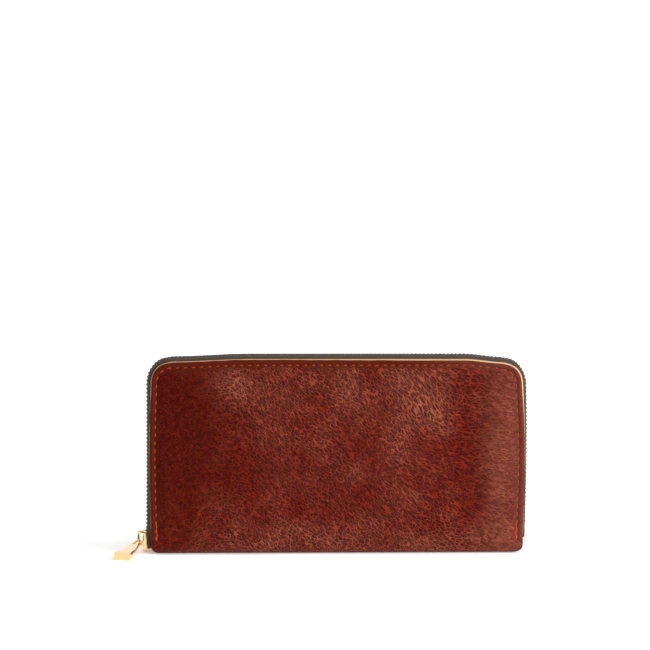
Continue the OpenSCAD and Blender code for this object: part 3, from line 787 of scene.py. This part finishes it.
# %% Stitches as bowed rods
def rods(centres, directions, normals, length, radius, sides=6, steps=7):
    """Bowed rods, one for each centre. Along a rod t runs from -1 to 1: the rod's middle line sinks
    by 1.5 r t^2 and its radius falls to 0.55 r at the ends."""
    t = np.linspace(-1, 1, steps)
    a = np.arange(sides) / sides * 2 * np.pi
    across = np.cross(directions, normals)
    line = centres[:, None] + directions[:, None] * (length[:, None] * t / 2)[:, :, None]
    line = line - normals[:, None] * (1.5 * radius * t**2)[None, :, None]
    width = radius * (1 - 0.45 * t**4)
    ring = (across[:, None, None] * np.cos(a)[None, None, :, None]
            + 0.8 * normals[:, None, None] * np.sin(a)[None, None, :, None])
    points = line[:, :, None] + ring * width[None, :, None, None]
    faces = []
    for k in range(len(centres)):
        start = k * steps * sides
        faces += quads(steps, sides, around=True, start=start).tolist()
        faces.append([start + i for i in range(sides)])
        faces.append([start + (steps - 1) * sides + i for i in range(sides)][::-1])
    return points.reshape(-1, 3), faces


one = rods(np.zeros((1, 3)), np.eye(3)[:1], np.eye(3)[1:2], np.ones(1), 0.3)
print("one stitch has", len(one[0]), "points and", len(one[1]), "faces")


# %% Where the stitches go
# how far in the seam runs along the top, and how far the thread's middle stands over the leather
TOP_INSET, THREAD_LIFT = 3.2, 0.18


def seam_at_end(side):
    """Places (x, s) and directions of the stitches of one end and its corner, and of the few that are
    sewn back over it at the foot."""
    foot = flat_half + bend_l + 1.8
    inset = float(stitch_inset(np.array(side * half_w)))
    up = np.arange(foot, sheet_l - corner_r, STITCH_PITCH)
    arc = np.radians([15, 45, 75])
    r = corner_r - float(stitch_inset(np.array(side * (half_w - 5))))
    again = foot + STITCH_PITCH * np.array([0.1, 0.5, 1.0, 1.5, 2.0])
    shift = np.array([0.3, -0.2, 0.3, -0.1, 0.25])
    round_x, round_s = half_w - corner_r + r * np.cos(arc), sheet_l - corner_r + r * np.sin(arc)
    places = [
        np.stack([np.full_like(up, side * (half_w - inset)), up], -1),
        np.stack([side * round_x, round_s], -1),
        np.stack([side * (half_w - inset + shift), again], -1),
    ]
    ways = [
        np.tile([0.14, 1.0], (len(up), 1)),
        np.stack([-side * np.sin(arc), np.cos(arc)], -1),
        np.stack([side * shift, np.ones(5)], -1),
    ]
    return places, ways


def stitch_line(seed):
    """Places, directions and normals of one cover's stitches, on the relief of the leather. Each is
    turned by a few degrees at random."""
    inner = half_w - corner_r
    run = np.arange(-inner + STITCH_PITCH / 2, inner, STITCH_PITCH)
    left, right = seam_at_end(-1), seam_at_end(1)
    top = np.stack([run, np.full_like(run, sheet_l - TOP_INSET)], -1)
    places = np.concatenate([*left[0], *right[0], top])
    ways = np.concatenate([*left[1], *right[1], np.tile([1.0, 0.1], (len(run), 1))])
    ways /= np.linalg.norm(ways, axis=1)[:, None]
    turn = np.random.default_rng(seed).normal(0, 0.07, len(places))
    ways = np.stack([ways[:, 0] * np.cos(turn) - ways[:, 1] * np.sin(turn),
                     ways[:, 0] * np.sin(turn) + ways[:, 1] * np.cos(turn)], -1)
    height = relief(places[:, 0], places[:, 1], seed)
    centres = sheet_point(places[:, 0], places[:, 1], height + THREAD_LIFT)
    directions = np.stack([ways[:, 0], 0 * ways[:, 0], ways[:, 1]], -1)
    return centres, directions, np.tile([0.0, -1.0, 0.0], (len(places), 1))


counts = [len(part) for part in seam_at_end(1)[0]]
print("stitches up one end, round its corner and sewn back:", counts)


# %% Sew both covers
# a stitch's length, and its length at the right end, where they are pulled less tight and all but touch
STITCH_L, LOOSE_STITCH_L = 2.9, 4.2
THREAD_R = 0.32

for label, back in (("front", False), ("back", True)):
    centres, directions, normals = stitch_line(BACK_SEED if back else FRONT_SEED)
    length = np.where(centres[:, 0] > half_w - 6, LOOSE_STITCH_L, STITCH_L)
    points, faces = rods(centres, directions, normals, length, THREAD_R)
    points = settled(points)
    if back:
        points[:, 1] *= -1
    thread = outwards(build(label + "_thread", points, faces, [THREAD]))
    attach(thread, label + "_cover")
    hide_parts(label + "_stitching")
    print(thread.name, len(centres), "stitches")

# %% [markdown]
# ## The outer zip
# The zip is two woven tapes, each with a nylon filament wound along its edge in flat loops that
# mesh with the other's. It could be a strip with a bumpy texture, but its jagged edge shows all
# round the wallet. So the tape is a section swept along the zip's path, and each row is one long
# filament on that path. Both are drawn as (out, y): how far outside the path, and how far from the
# middle between the covers.

# %% The zip's path
coil_high = box("front_zip_coil")[1]
chain_x, chain_top = coil_high[0], coil_high[2]
chain_bend_z = bend_start("front_zip_coil")
chain_r = chain_top - chain_bend_z
bend_x = chain_x - chain_r
left_foot = box("left_tape_ends")[0][2]
right_foot = box("right_tape_ends")[0][2]
# how far the right foot is drawn in under the cover
DRAWN_IN = 0.6


def zip_path(z_left, z_right, step):
    """Stations on the chain's outer face from the foot of the left end to the foot of the right end.
    Returns points and outward directions in the XZ plane."""
    left = np.arange(z_left, chain_bend_z, step)
    arc = np.linspace(math.pi, math.pi / 2, max(2, round(chain_r * math.pi / 2 / step)))[:-1]
    run = np.arange(-bend_x, bend_x, step)
    right = np.arange(z_right, chain_bend_z, step)[::-1]
    p = [np.stack([np.full_like(left, -chain_x), left], -1),
         np.stack([-bend_x + chain_r * np.cos(arc), chain_bend_z + chain_r * np.sin(arc)], -1),
         np.stack([run, np.full_like(run, chain_top)], -1),
         np.stack([bend_x - chain_r * np.cos(arc[::-1]), chain_bend_z + chain_r * np.sin(arc[::-1])], -1),
         np.stack([np.full_like(right, chain_x), right], -1)]
    o = [np.tile([-1.0, 0], (len(left), 1)), np.stack([np.cos(arc), np.sin(arc)], -1),
         np.tile([0, 1.0], (len(run), 1)), np.stack([-np.cos(arc[::-1]), np.sin(arc[::-1])], -1),
         np.tile([1.0, 0], (len(right), 1))]
    p, o = np.concatenate(p), np.concatenate(o)
    p[:, 0] -= DRAWN_IN * smoothstep(-p[:, 1], -80, -right_foot) * (p[:, 0] > bend_x)
    return p, o


def along(path, outward, out, y):
    """3-D points at (out, y) from each station of a path."""
    flat = path + outward * np.asarray(out)[..., None]
    y = np.broadcast_to(y, flat.shape[:-1])
    return np.stack([flat[..., 0], y, flat[..., 1]], -1)


# the left and right belly of the zip: it stays straight at the left, where the slider runs on it
ZIP_BELLY = (0.0, 0.7)
print("the zip's path has", len(zip_path(left_foot, right_foot, 1.5)[0]), "stations")

# %% [markdown]
# The tape is polyester, woven in ribs. A flat pattern could be laid on it, but it would have to be
# cut to the bend at each corner. The product of two sines gives the ribs instead, and a UV map in
# mm, with u along the tape and v across it, carries them round the corners. The small tapes inside
# are straight, so they need no map.


# %% Zip tape: woven polyester, matt, ribbed along and across
def woven(name, dark, light, pitch, roughness, uv=None):
    """Cloth with ribs pitch mm apart, crossed by others: the product of two sines. It follows a UV map in
    mm if one is named."""
    m, t = new_finish(name)
    if uv:
        u, v, _ = add(t, "SeparateXYZ", {0: add(t, "UVMap", uv_map=uv)}).node.outputs
    else:
        x, y, z = add(t, "SeparateXYZ", {0: object_mm(t)}).node.outputs
        u = add(t, "Math", {0: x, 1: y}, operation="ADD")
        v = add(t, "Math", {0: z, 1: y}, operation="SUBTRACT")
    ribs = []
    for way in (u, v):
        turns = add(t, "Math", {0: way, 1: 2 * math.pi / pitch}, operation="MULTIPLY")
        ribs.append(add(t, "Math", {0: turns}, operation="SINE"))
    weave = add(t, "Math", {0: ribs[0], 1: ribs[1]}, operation="MULTIPLY")
    weave = add(t, "Math", {0: weave, 1: 0.5, 2: 0.5}, operation="MULTIPLY_ADD")
    colour = add(t, "Mix", {0: weave, 6: linear(dark), 7: linear(light)}, out=2, data_type="RGBA")
    bump = add(t, "Bump", {"Height": weave, "Strength": 0.5, "Distance": 0.0001})
    looks = {"Base Color": colour, "Roughness": roughness, "Specular IOR Level": 0.25, "Normal": bump}
    add(t, "OutputMaterial", {"Surface": add(t, "BsdfPrincipled", looks)})
    return m


# real ribs are 0.3 mm apart: these are drawn 1 mm apart, so that they show
OUTER_TAPE = woven("zip_tape_weave", "#30261d", "#5c4c3e", 1.0, 0.8, uv="weave")
INNER_TAPE = woven("inner_tape_weave", "#30261d", "#5c4c3e", 1.0, 0.8)
print("tapes:", OUTER_TAPE.name, INNER_TAPE.name)


# %% The tape's shape
tape_edge = -box("front_zip_tape")[0][1]
# how far the dome beside the chain reaches from y = 3, where it starts
dome_run = tape_edge - 0.3 - 3.0
# below this height the tape is a stub, held only by the chain
STUB_Z = 8.5


def tape_line(thick):
    """One face of the tape in section, thick mm outside its middle: under the coil, up over the dome,
    which is a quarter of an ellipse, and into the seam."""
    t = np.linspace(math.pi / 2, 0, 14)
    out = np.concatenate([[-1.86, -1.8, -1.5], -3.99 + (2.8 + thick) * np.sin(t), [-6.0, -9.0, -11.0]])
    y = np.concatenate([[0.5, 2.0, 2.75], 3.0 + (dome_run + thick) * np.cos(t), np.full(3, 10.2 + thick)])
    out[:3] += 0.35 * thick
    return np.stack([out, y], -1)


def zip_tape(back):
    """The tape of one side, foot to foot. Near the feet it narrows to a loose end."""
    side = 1 if back else -1
    path, outward = zip_path(left_foot, right_foot, 1.5)
    section = np.concatenate([tape_line(0.28), tape_line(-0.28)[::-1]])
    n, m = len(path), len(section)
    out = np.tile(section[:, 0], (n, 1))
    y = np.tile(section[:, 1], (n, 1))
    # below the spine's reach the tape is a stub, held only by the chain
    z = np.repeat(path[:, 1][:, None], m, 1)
    stub = 9.0 - 2.2 * np.clip((left_foot + 3 - z) / 3, 0, 1)
    low = z < STUB_Z
    pulled = np.where(out < -3.9, -3.0 + 0.02 * (out + 3.99), np.maximum(out, -3.0))
    out = np.where(low & (y > 8.6), pulled, out)
    y = np.where(low, np.minimum(y, stub), y)
    wave = 0.05 * np.sin(z * 1.3)
    points = settled(along(path[:, None], outward[:, None], out + wave, y * side), *ZIP_BELLY)
    faces = quads(n, m, around=True).tolist()
    faces += [list(range(m)), [(n - 1) * m + i for i in range(m)][::-1]]
    label = "back" if back else "front"
    obj = outwards(build(label + "_tape", points.reshape(-1, 3), faces, [OUTER_TAPE]))
    # woven along the tape's length, in mm, the same on both of its faces
    run = np.concatenate([[0], np.cumsum(np.linalg.norm(np.diff(path, axis=0), axis=1))])
    across = np.concatenate([[0], np.cumsum(np.linalg.norm(np.diff(tape_line(0), axis=0), axis=1))])
    across = np.concatenate([across, across[::-1]])
    uv_map(obj, "weave", np.stack([np.repeat(run, m), np.tile(across, n)], -1))
    return obj


print("the tape's section has", 2 * len(tape_line(0)), "points")

# %% [markdown]
# The rows are moulded nylon filament, wound flat. Each loop could be one small mesh set out by an
# array, but a coil is one long piece, and a formula winds it: the middle line goes round a
# flattened circle while it moves along the path. A ring of six points at each step of that line is
# the filament's skin.


# %% Zip coil: moulded nylon, dark olive brown, a little lighter where the loops are worn
def coil_nylon():
    m, t = new_finish("zip_nylon")
    cloud = add(t, "TexNoise", {"Vector": object_mm(t), "Scale": 0.25, "Detail": 2.0})
    colour = {0: cloud, 6: linear("#2f271f"), 7: linear("#6a5e51")}
    colour = add(t, "Mix", colour, out=2, data_type="RGBA")
    looks = {"Base Color": colour, "Roughness": 0.38}
    add(t, "OutputMaterial", {"Surface": add(t, "BsdfPrincipled", looks)})
    return m


COIL_NYLON = coil_nylon()
print(COIL_NYLON.name)


# %% The coil's shape
# 2.1 mm from one loop to the next, coarser than the real 1.3 mm, so that the loops show
COIL_PITCH = 2.1


def filament(name, path, outward, pitch, y_mid, y_run, out_mid, out_run, radius, side, shift, belly=None):
    """A row of coil loops on a path. Over a turn f from 0 to 2 pi the filament's middle line runs
    y = y_mid + y_run sgn(cos f)|cos f|^0.7, out = out_mid + out_run sgn(sin f)|sin f|^0.8."""
    sides, steps = 6, 12
    length = np.concatenate([[0], np.cumsum(np.linalg.norm(np.diff(path, axis=0), axis=1))])
    turns = int(length[-1] / pitch) - 1
    f = np.arange(turns * steps + 1) / steps
    s = (f + shift) * pitch
    c, d = np.cos(2 * np.pi * f), np.sin(2 * np.pi * f)
    y = y_mid + y_run * np.sign(c) * np.abs(c) ** 0.7
    out = out_mid + out_run * np.sign(d) * np.abs(d) ** 0.8
    px, pz = (np.interp(s, length, path[:, k]) for k in (0, 1))
    ox, oz = (np.interp(s, length, outward[:, k]) for k in (0, 1))
    line = np.stack([px + ox * out, y * side, pz + oz * out], -1)
    if belly:
        line = settled(line, *belly)
    way = np.gradient(line, axis=0)
    way /= np.linalg.norm(way, axis=1)[:, None]
    lean = np.stack([-oz, 0 * ox, ox], -1)
    lean -= way * np.sum(lean * way, 1)[:, None]
    lean /= np.linalg.norm(lean, axis=1)[:, None]
    other = np.cross(way, lean)
    a = np.arange(sides) / sides * 2 * np.pi
    ring = lean[:, None] * np.cos(a)[None, :, None] + other[:, None] * np.sin(a)[None, :, None]
    points = (line[:, None] + radius * ring).reshape(-1, 3)
    n = len(line)
    faces = quads(n, sides, around=True).tolist()
    faces += [list(range(sides)), [(n - 1) * sides + i for i in range(sides)][::-1]]
    return outwards(build(name, points, faces, [COIL_NYLON]))


def coil(back):
    """One row of the outer chain. The back's loops sit half a pitch along, between the front's."""
    path, outward = zip_path(left_foot + 1.6, right_foot + 1.6, 0.25)
    name, side = ("back_coil", 1) if back else ("front_coil", -1)
    loop = dict(y_mid=1.6, y_run=1.33, out_mid=-0.86, out_run=0.5, radius=0.35)
    return filament(name, path, outward, COIL_PITCH, side=side, shift=0.5 * back, belly=ZIP_BELLY, **loop)


print("about", int(2 * (top_z + half_w) / COIL_PITCH), "loops in each row")


# %% Both sides of the zip
# heights and reach for a turn of the tape's web, from the chain at the middle out to the seam; the loop
# below builds them into a tuple that nothing uses
WEB_LOW, WEB_HIGH, WEB_OUT = 0.01797, 0.01972, 0.00691
# two heights for a turn of the rows; the loop below builds them into a tuple that nothing uses
ROW_LOW, ROW_HIGH = 0.0116, 0.0407

for label, back in (("front", False), ("back", True)):
    side = 1 if back else -1
    web = (0, 0, WEB_LOW), (0, side * WEB_OUT, WEB_HIGH)
    rise = (0, 0, ROW_LOW), (0, 0, ROW_HIGH)
    for obj, bend, part, slot in (
        (zip_tape(back), web, "tape", "zip_tape"), (coil(back), rise, "coil", "zip_coil"),
    ):
        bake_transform(obj)
        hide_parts(label + "_zip_" + part, "left_" + part + "_ends", "right_" + part + "_ends")
        print(obj.name, len(obj.data.polygons), "faces")

# %% [markdown]
# ## Hardware
# The slider, its pull and the stops are cast and plated with gold, and their CAD solids already
# have the right shape. What gives a metal part its look is the line of light along each edge, and a
# CAD edge is perfectly sharp. Modelling them again would gain nothing: a Bevel modifier on a merged
# copy rounds each edge by a few tenths of a millimetre and catches that light.


# %% Hardware: zinc casting, polished and plated with gold
def plated(name, dark, light, roughness):
    """Plated metal, with a faint unevenness in its colour and its polish."""
    m, t = new_finish(name)
    cloud = add(t, "TexNoise", {"Vector": object_mm(t), "Scale": 0.6, "Detail": 2.0})
    colour = add(t, "Mix", {0: cloud, 6: linear(dark), 7: linear(light)}, out=2, data_type="RGBA")
    polish = add(t, "Math", {0: cloud, 1: 0.08, 2: roughness - 0.04}, operation="MULTIPLY_ADD")
    looks = {"Base Color": colour, "Roughness": polish, "Metallic": 1.0}
    add(t, "OutputMaterial", {"Surface": add(t, "BsdfPrincipled", looks)})
    return m


GOLD_PLATE = plated("polished_gold_plate", "#f0c278", "#ffe6b8", 0.16)
print(GOLD_PLATE.name)


# %% Rounded copies of CAD solids
def rounded(name, node, width, material):
    """A merged copy of a CAD node with its edges bevelled, width mm wide. It stands for the node on the
    same body."""
    source = frame["nodes"][node]
    mesh = source.data.copy()
    bm = bmesh.new()
    bm.from_mesh(mesh)
    bmesh.ops.remove_doubles(bm, verts=bm.verts, dist=1e-6)
    bmesh.ops.dissolve_limit(bm, angle_limit=math.radians(1), verts=bm.verts, edges=bm.edges)
    bmesh.ops.recalc_face_normals(bm, faces=bm.faces)
    bm.to_mesh(mesh)
    bm.free()
    mesh.polygons.foreach_set("use_smooth", [True] * len(mesh.polygons))
    mesh.materials.clear()
    mesh.materials.append(material)
    obj = bpy.data.objects.new(name, mesh)
    scene.collection.objects.link(obj)
    bevel = obj.modifiers.new("round", "BEVEL")
    bevel.width, bevel.segments = width / 1000, 3
    bevel.limit_method, bevel.angle_limit = "ANGLE", math.radians(28)
    bevel.harden_normals = True
    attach(obj, source["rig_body"])
    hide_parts(node)
    return obj


print("the CAD slider has", len(frame["nodes"]["zip_slider"].data.polygons), "triangles")


# %% Slider, pulls and stops
# the outer stop sits where the zip's right foot is drawn in
STOP_SHIFT = -1.4

for name, node, width in (
    ("slider", "zip_slider", 0.28), ("pull", "zip_pull", 0.22), ("inner_slider", "coin_slider", 0.2),
    ("inner_pull", "coin_pull", 0.12), ("top_stops", "zip_top_stops", 0.25),
    ("bottom_stop", "zip_bottom_stop", 0.25), ("inner_stops", "coin_zip_stops", 0.2),
):
    piece = rounded(name, node, width, material=GOLD_PLATE)
    if name == "bottom_stop":
        piece.data.transform(Matrix.Translation((STOP_SHIFT / 1000, 0, 0)))
    print(name, "edges rounded by", width, "mm")

# %% [markdown]
# ## Card slots
# Each cover has four slots of thin calf, stepped one behind the other. A slot's top edge is turned
# over and marked with a hot creaser, which leaves a line 1.8 mm in, and the stack is stitched down
# at both ends and in the middle. Flat boards would look like card. A slot here is a set of rounded
# rectangles, one inside the other, that go over its soft edge and down into the creased line.


# %% A creased panel
PANEL_R = 2.5


def rounded_outline(low, high, radius, inset):
    """A rounded rectangle drawn inset mm in: 8 points round each corner, about each corner's centre."""
    a = np.linspace(0, math.pi / 2, 8)
    corners = []
    for k, (sx, sz) in enumerate(((1, 1), (-1, 1), (-1, -1), (1, -1))):
        turn = a + k * math.pi / 2
        centre = np.where([sx > 0, sz > 0], np.array(high) - radius, np.array(low) + radius)
        corners.append(centre + (radius - inset) * np.stack([np.cos(turn), np.sin(turn)], -1))
    return np.concatenate(corners)


def panel(name, node):
    """A calf panel with rolled edges and a creased line, as rings of a rounded rectangle from the middle
    of its hidden face, round the edge, to the middle of its shown face. It stands for a CAD node."""
    low, high = box(node)
    thick = high[1] - low[1]
    shown, hidden = (high[1], low[1]) if high[1] < 0 else (low[1], high[1])
    toward = 1 if hidden > shown else -1
    # how far in from the outline, and how far below the shown face
    rings = [(0.25, thick), (0.05, thick * 0.8), (0.0, thick * 0.5), (0.05, thick * 0.2), (0.25, 0.0),
             (1.45, 0.0), (1.65, 0.13), (1.95, 0.13), (2.15, 0.0)]
    points = []
    for inset, depth in rings:
        outline = rounded_outline(low[[0, 2]], high[[0, 2]], PANEL_R, inset)
        y = np.full(len(outline), shown + toward * depth)
        points.append(np.stack([outline[:, 0], y, outline[:, 1]], -1))
    n = len(points[0])
    faces = quads(len(rings), n, around=True).tolist()
    faces += [list(range(n)), [(len(rings) - 1) * n + i for i in range(n)][::-1]]
    obj = outwards(build(name, np.concatenate(points), faces, [POCKET_CALF], smooth=False))
    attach(obj, frame["nodes"][node]["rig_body"])
    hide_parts(node)
    print(name, "reaches up to", round(float(high[2]), 1), "mm")
    return low, high


# %% Stitches of the slots
SLOT_PITCH, SLOT_STITCH_L, SLOT_THREAD_R = 3.6, 2.6, 0.25
# how far in from the slots' ends their seams run
SLOT_INSET = 3.2


def pocket_stitches(label, panels):
    """Stitches down both ends and the middle of a stack of slots, each on the slot nearest to it."""
    side = -1 if label == "front" else 1
    centres = []
    for i, (low, high) in enumerate(panels):
        above = panels[i + 1][1][2] if i + 1 < len(panels) else low[2] + 2
        z = np.arange(above + 2.0, high[2] - 1.0, SLOT_PITCH)
        face = high[1] if side < 0 else low[1]
        for x in (low[0] + SLOT_INSET, 0.0, high[0] - SLOT_INSET):
            centres.append(np.stack([np.full_like(z, x), np.full_like(z, face - side * 0.1), z], -1))
    centres = np.concatenate(centres)
    directions = np.tile([0.1, 0.0, 1.0], (len(centres), 1))
    directions /= np.linalg.norm(directions[0])
    normals = np.tile([0.0, -side, 0.0], (len(centres), 1))
    length = np.full(len(centres), SLOT_STITCH_L)
    points, faces = rods(centres, directions, normals, length, SLOT_THREAD_R)
    thread = outwards(build(label + "_slot_thread", points, faces, [THREAD]))
    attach(thread, label + "_cover")
    print(label, "slot stitches", len(centres))


for label in ("front", "back"):
    numbers = ("1", "2", "3", "4")
    boxes = [panel(label + "_slot_" + k, label + "_card_slot_" + k) for k in numbers]
    pocket_stitches(label, boxes)

# %% [markdown]
# ## Gussets
# The gussets are folded cloth from the coin pocket's ends to the covers, and they are what stops
# the covers at 30 degrees. On the wallet each opens and closes with its cover. Cloth simulation
# could fold them; here the fold is a formula: from above it is one smooth bight, and it deepens
# with height, as a fan's does.


# %% Lining: brown twill, matt
# real ribs are 0.4 mm apart: these are drawn 0.8 mm apart, so that they show
LINING_TWILL = woven("lining_twill", "#3b2c22", "#5a4636", 0.8, 0.8)
# half the cloth's thickness, and a reach beyond the near seam that nothing below reads
CLOTH_HALF, BIGHT = 0.17, 4.3
print(LINING_TWILL.name)


# %% One gusset
def gusset_middle(low, high, side, way):
    """The cloth's middle surface, a grid of points (height, along). From above, its line runs through
    four points as t goes from 0 to 3: the pocket's end, the fold, and the cover's end twice. Between
    two of them x is eased by a smooth step of t, and y runs straight. Higher up, the fold is deeper."""
    near, far = min(abs(low[1]), abs(high[1])) + 0.2, max(abs(low[1]), abs(high[1])) - 0.2
    widest, narrowest = max(abs(low[0]), abs(high[0])) - 0.2, min(abs(low[0]), abs(high[0])) + 0.2
    deepest = box("coin_pocket_front")[1][0] - 1 - narrowest
    z = np.linspace(low[2], high[2], 40)
    rise = (z - low[2]) / (high[2] - low[2])
    fold = 2 + (deepest - 2) * rise
    # control points from above, (x, |y|), one set for each height
    pocket_x = narrowest + deepest
    xs = np.stack([0 * fold + pocket_x, pocket_x - fold, 0 * fold + widest - 1.2, 0 * fold + widest], -1)
    ys = np.array([near, near + 2.05, near + 4.1, far])
    t = np.linspace(0, 3, 49)
    k = np.minimum(t.astype(int), 2)
    u = (t - k) ** 2 * (3 - 2 * (t - k))
    x = xs[:, k] * (1 - u) + xs[:, k + 1] * u
    y = np.interp(t, range(4), ys)[None, :] + 0 * x
    # the cloth ripples a little towards its free top edge
    x = x + 0.25 * rise[:, None] * np.sin(z / 5.5)[:, None] * np.sin(np.pi * t / 3)[None, :]
    return np.stack([side * x, way * y, z[:, None] + 0 * x], -1), near


def gusset(label, end, side, way):
    """A cloth strip with one soft fold: its middle surface, given a thickness along its normal."""
    middle, near = gusset_middle(*box("gusset_" + label + "_" + end), side, way)
    run = np.gradient(middle, axis=1)
    normal = np.stack([-run[..., 1], run[..., 0], 0 * run[..., 0]], -1)
    normal /= np.linalg.norm(normal, axis=-1)[..., None]
    rows, columns, _ = middle.shape
    both = [middle + CLOTH_HALF * normal, (middle - CLOTH_HALF * normal)[:, ::-1]]
    faces = quads(rows, 2 * columns, around=True).tolist()
    # the strips that close its foot and its top
    c = np.arange(columns - 1)
    strip = np.stack([c, c + 1, 2 * columns - 2 - c, 2 * columns - 1 - c], -1)
    faces += strip.tolist() + (strip + (rows - 1) * 2 * columns)[:, ::-1].tolist()
    points = np.concatenate(both, axis=1).reshape(-1, 3)
    obj = outwards(build(label + "_" + end + "_gusset", points, faces, [LINING_TWILL]))
    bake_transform(obj)
    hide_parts("gusset_" + label + "_" + end)


# %% All four gussets
for label, way in (("front", -1), ("back", 1)):
    for end, side in (("left", -1), ("right", 1)):
        gusset(label, end, side, way)

# %% [markdown]
# ## Linings and the coin pocket
# The linings and the coin pocket's walls are flat boards covered in cloth or calf. Their CAD solids
# are the right shape, so rounded copies are enough. The coin pocket's own zip is small, but it lies
# in the middle of the open wallet, so its rows are wound as loops too, with the same formula as the
# outer zip's.

# %% Boards and small tapes
for node, finish, slot, width in (
    ("coin_pocket_front", POCKET_CALF, "pocket_leather", 0.3),
    ("coin_pocket_back", POCKET_CALF, "pocket_leather", 0.3),
    ("front_lining", LINING_TWILL, "lining_fabric", 0.25),
    ("back_lining", LINING_TWILL, "lining_fabric", 0.25),
    ("spine_lining", LINING_TWILL, "lining_fabric", 0.2),
    ("coin_tape_front", INNER_TAPE, "zip_tape", 0.12),
    ("coin_tape_back", INNER_TAPE, "zip_tape", 0.12),
):
    board = rounded(node.replace("coin_", "inner_"), node, width, material=finish)
    print(board.name, finish.name)

# %% The coin pocket's coils
INNER_PITCH = 1.6

for label, side in (("front", -1), ("back", 1)):
    low, high = box("coin_coil_" + label)
    run = np.arange(low[0] + 0.3, high[0] - 0.3, 0.25)
    path = np.stack([run, np.full_like(run, high[2])], -1)
    outward = np.tile([0.0, 1.0], (len(run), 1))
    loop = dict(y_mid=1.2, y_run=0.56, out_mid=-0.65, out_run=0.4, radius=0.24)
    shift = 0.25 + 0.25 * side
    row = filament("inner_coil_" + label, path, outward, INNER_PITCH, side=side, shift=shift, **loop)
    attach(row, "core")
    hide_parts("coin_coil_" + label)
    print(row.name, len(row.data.polygons), "faces")

# %% [markdown]
# ## Studio
# Brown leather on white needs two things: a backdrop that stays white, and little light from the
# front, or the leather's face turns grey with haze. A white room would light it from everywhere.
# Here the floor glows behind and beside the wallet and ends a third of a metre in front of it. The
# world is dim in front for light but white to look at, and two area lights give the soft light from
# above and from the right.


# %% Floor: white paper sweep, matt, lit from behind the wallet on
def floor():
    mesh = bpy.data.meshes.new("floor")
    mesh.from_pydata([(-6, -0.34, 0), (6, -0.34, 0), (6, 8, 0), (-6, 8, 0)], [], [(0, 1, 2, 3)])
    obj = bpy.data.objects.new("floor", mesh)
    scene.collection.objects.link(obj)
    m, t = new_finish("white_paper")
    x, y, _ = add(t, "SeparateXYZ", {0: add(t, "TexCoord", out="Object")}).node.outputs
    aside = add(t, "Math", {0: x}, operation="ABSOLUTE")
    aside = add(t, "MapRange", {0: aside, 1: 0.25, 2: 0.7, 3: 0.3, 4: 1}, interpolation_type="SMOOTHSTEP")
    behind = add(t, "MapRange", {0: y, 1: -0.05, 2: 0.3, 3: 0.3, 4: 1}, interpolation_type="SMOOTHSTEP")
    glow = add(t, "Math", {0: behind, 1: aside}, operation="MAXIMUM")
    looks = {"Base Color": (0.93, 0.93, 0.93, 1), "Roughness": 0.9, "Specular IOR Level": 0.1,
             "Emission Color": (1, 1, 1, 1), "Emission Strength": glow}
    add(t, "OutputMaterial", {"Surface": add(t, "BsdfPrincipled", looks)})
    mesh.materials.append(m)
    print("floor", m.name)


floor()

# %% [markdown]
# The world gives light from everywhere, so it is kept dim where it would haze the leather. A node
# tells whether a ray comes straight from the camera: such a ray sees white, whatever light the
# world gives. The two area lights are large, as softboxes are, so that the shine on the leather and
# the metal is broad.


# %% World and lights
def studio_world():
    """White behind the wallet, dim behind the camera, and fair overhead."""
    world = bpy.data.worlds.new("studio")
    world.use_nodes = True
    t = world.node_tree
    t.nodes.clear()
    x, y, z = add(t, "SeparateXYZ", {0: add(t, "TexCoord", out="Generated")}).node.outputs
    behind = add(t, "MapRange", {0: y, 1: 0.2, 2: 0.8}, interpolation_type="SMOOTHSTEP")
    above = add(t, "MapRange", {0: z, 1: 0.1, 2: 0.9}, interpolation_type="SMOOTHSTEP")
    above = add(t, "Math", {0: above, 1: 0.4}, operation="MULTIPLY")
    level = add(t, "Math", {0: behind, 1: above}, operation="MAXIMUM")
    level = add(t, "Math", {0: level, 1: 1.0, 2: 0.04}, operation="MULTIPLY_ADD")
    # pale to look at from every side, whatever light it gives
    seen = add(t, "LightPath", out="Is Camera Ray")
    level = add(t, "Math", {0: level, 1: seen}, operation="MAXIMUM")
    shine = add(t, "Background", {"Color": (1, 1, 1, 1), "Strength": level})
    add(t, "OutputWorld", {"Surface": shine})
    scene.world = world


def area(name, place, size, power):
    """A rectangular light that faces the wallet's middle."""
    data = bpy.data.lights.new(name, "AREA")
    data.shape, data.size, data.size_y = "RECTANGLE", size[0], size[1]
    data.energy = power
    obj = bpy.data.objects.new(name, data)
    obj.location = place
    x, y, z = np.array((0, 0, 0.05)) - np.array(place)
    obj.rotation_euler = math.atan2(math.hypot(x, y), -z), 0, math.atan2(y, x) - math.pi / 2
    scene.collection.objects.link(obj)
    print(name, power, "W")


studio_world()
area("overhead", (0.1, -0.35, 0.95), (1.0, 0.7), 3.6)
area("right", (0.8, -0.5, 0.5), (0.4, 0.6), 8)
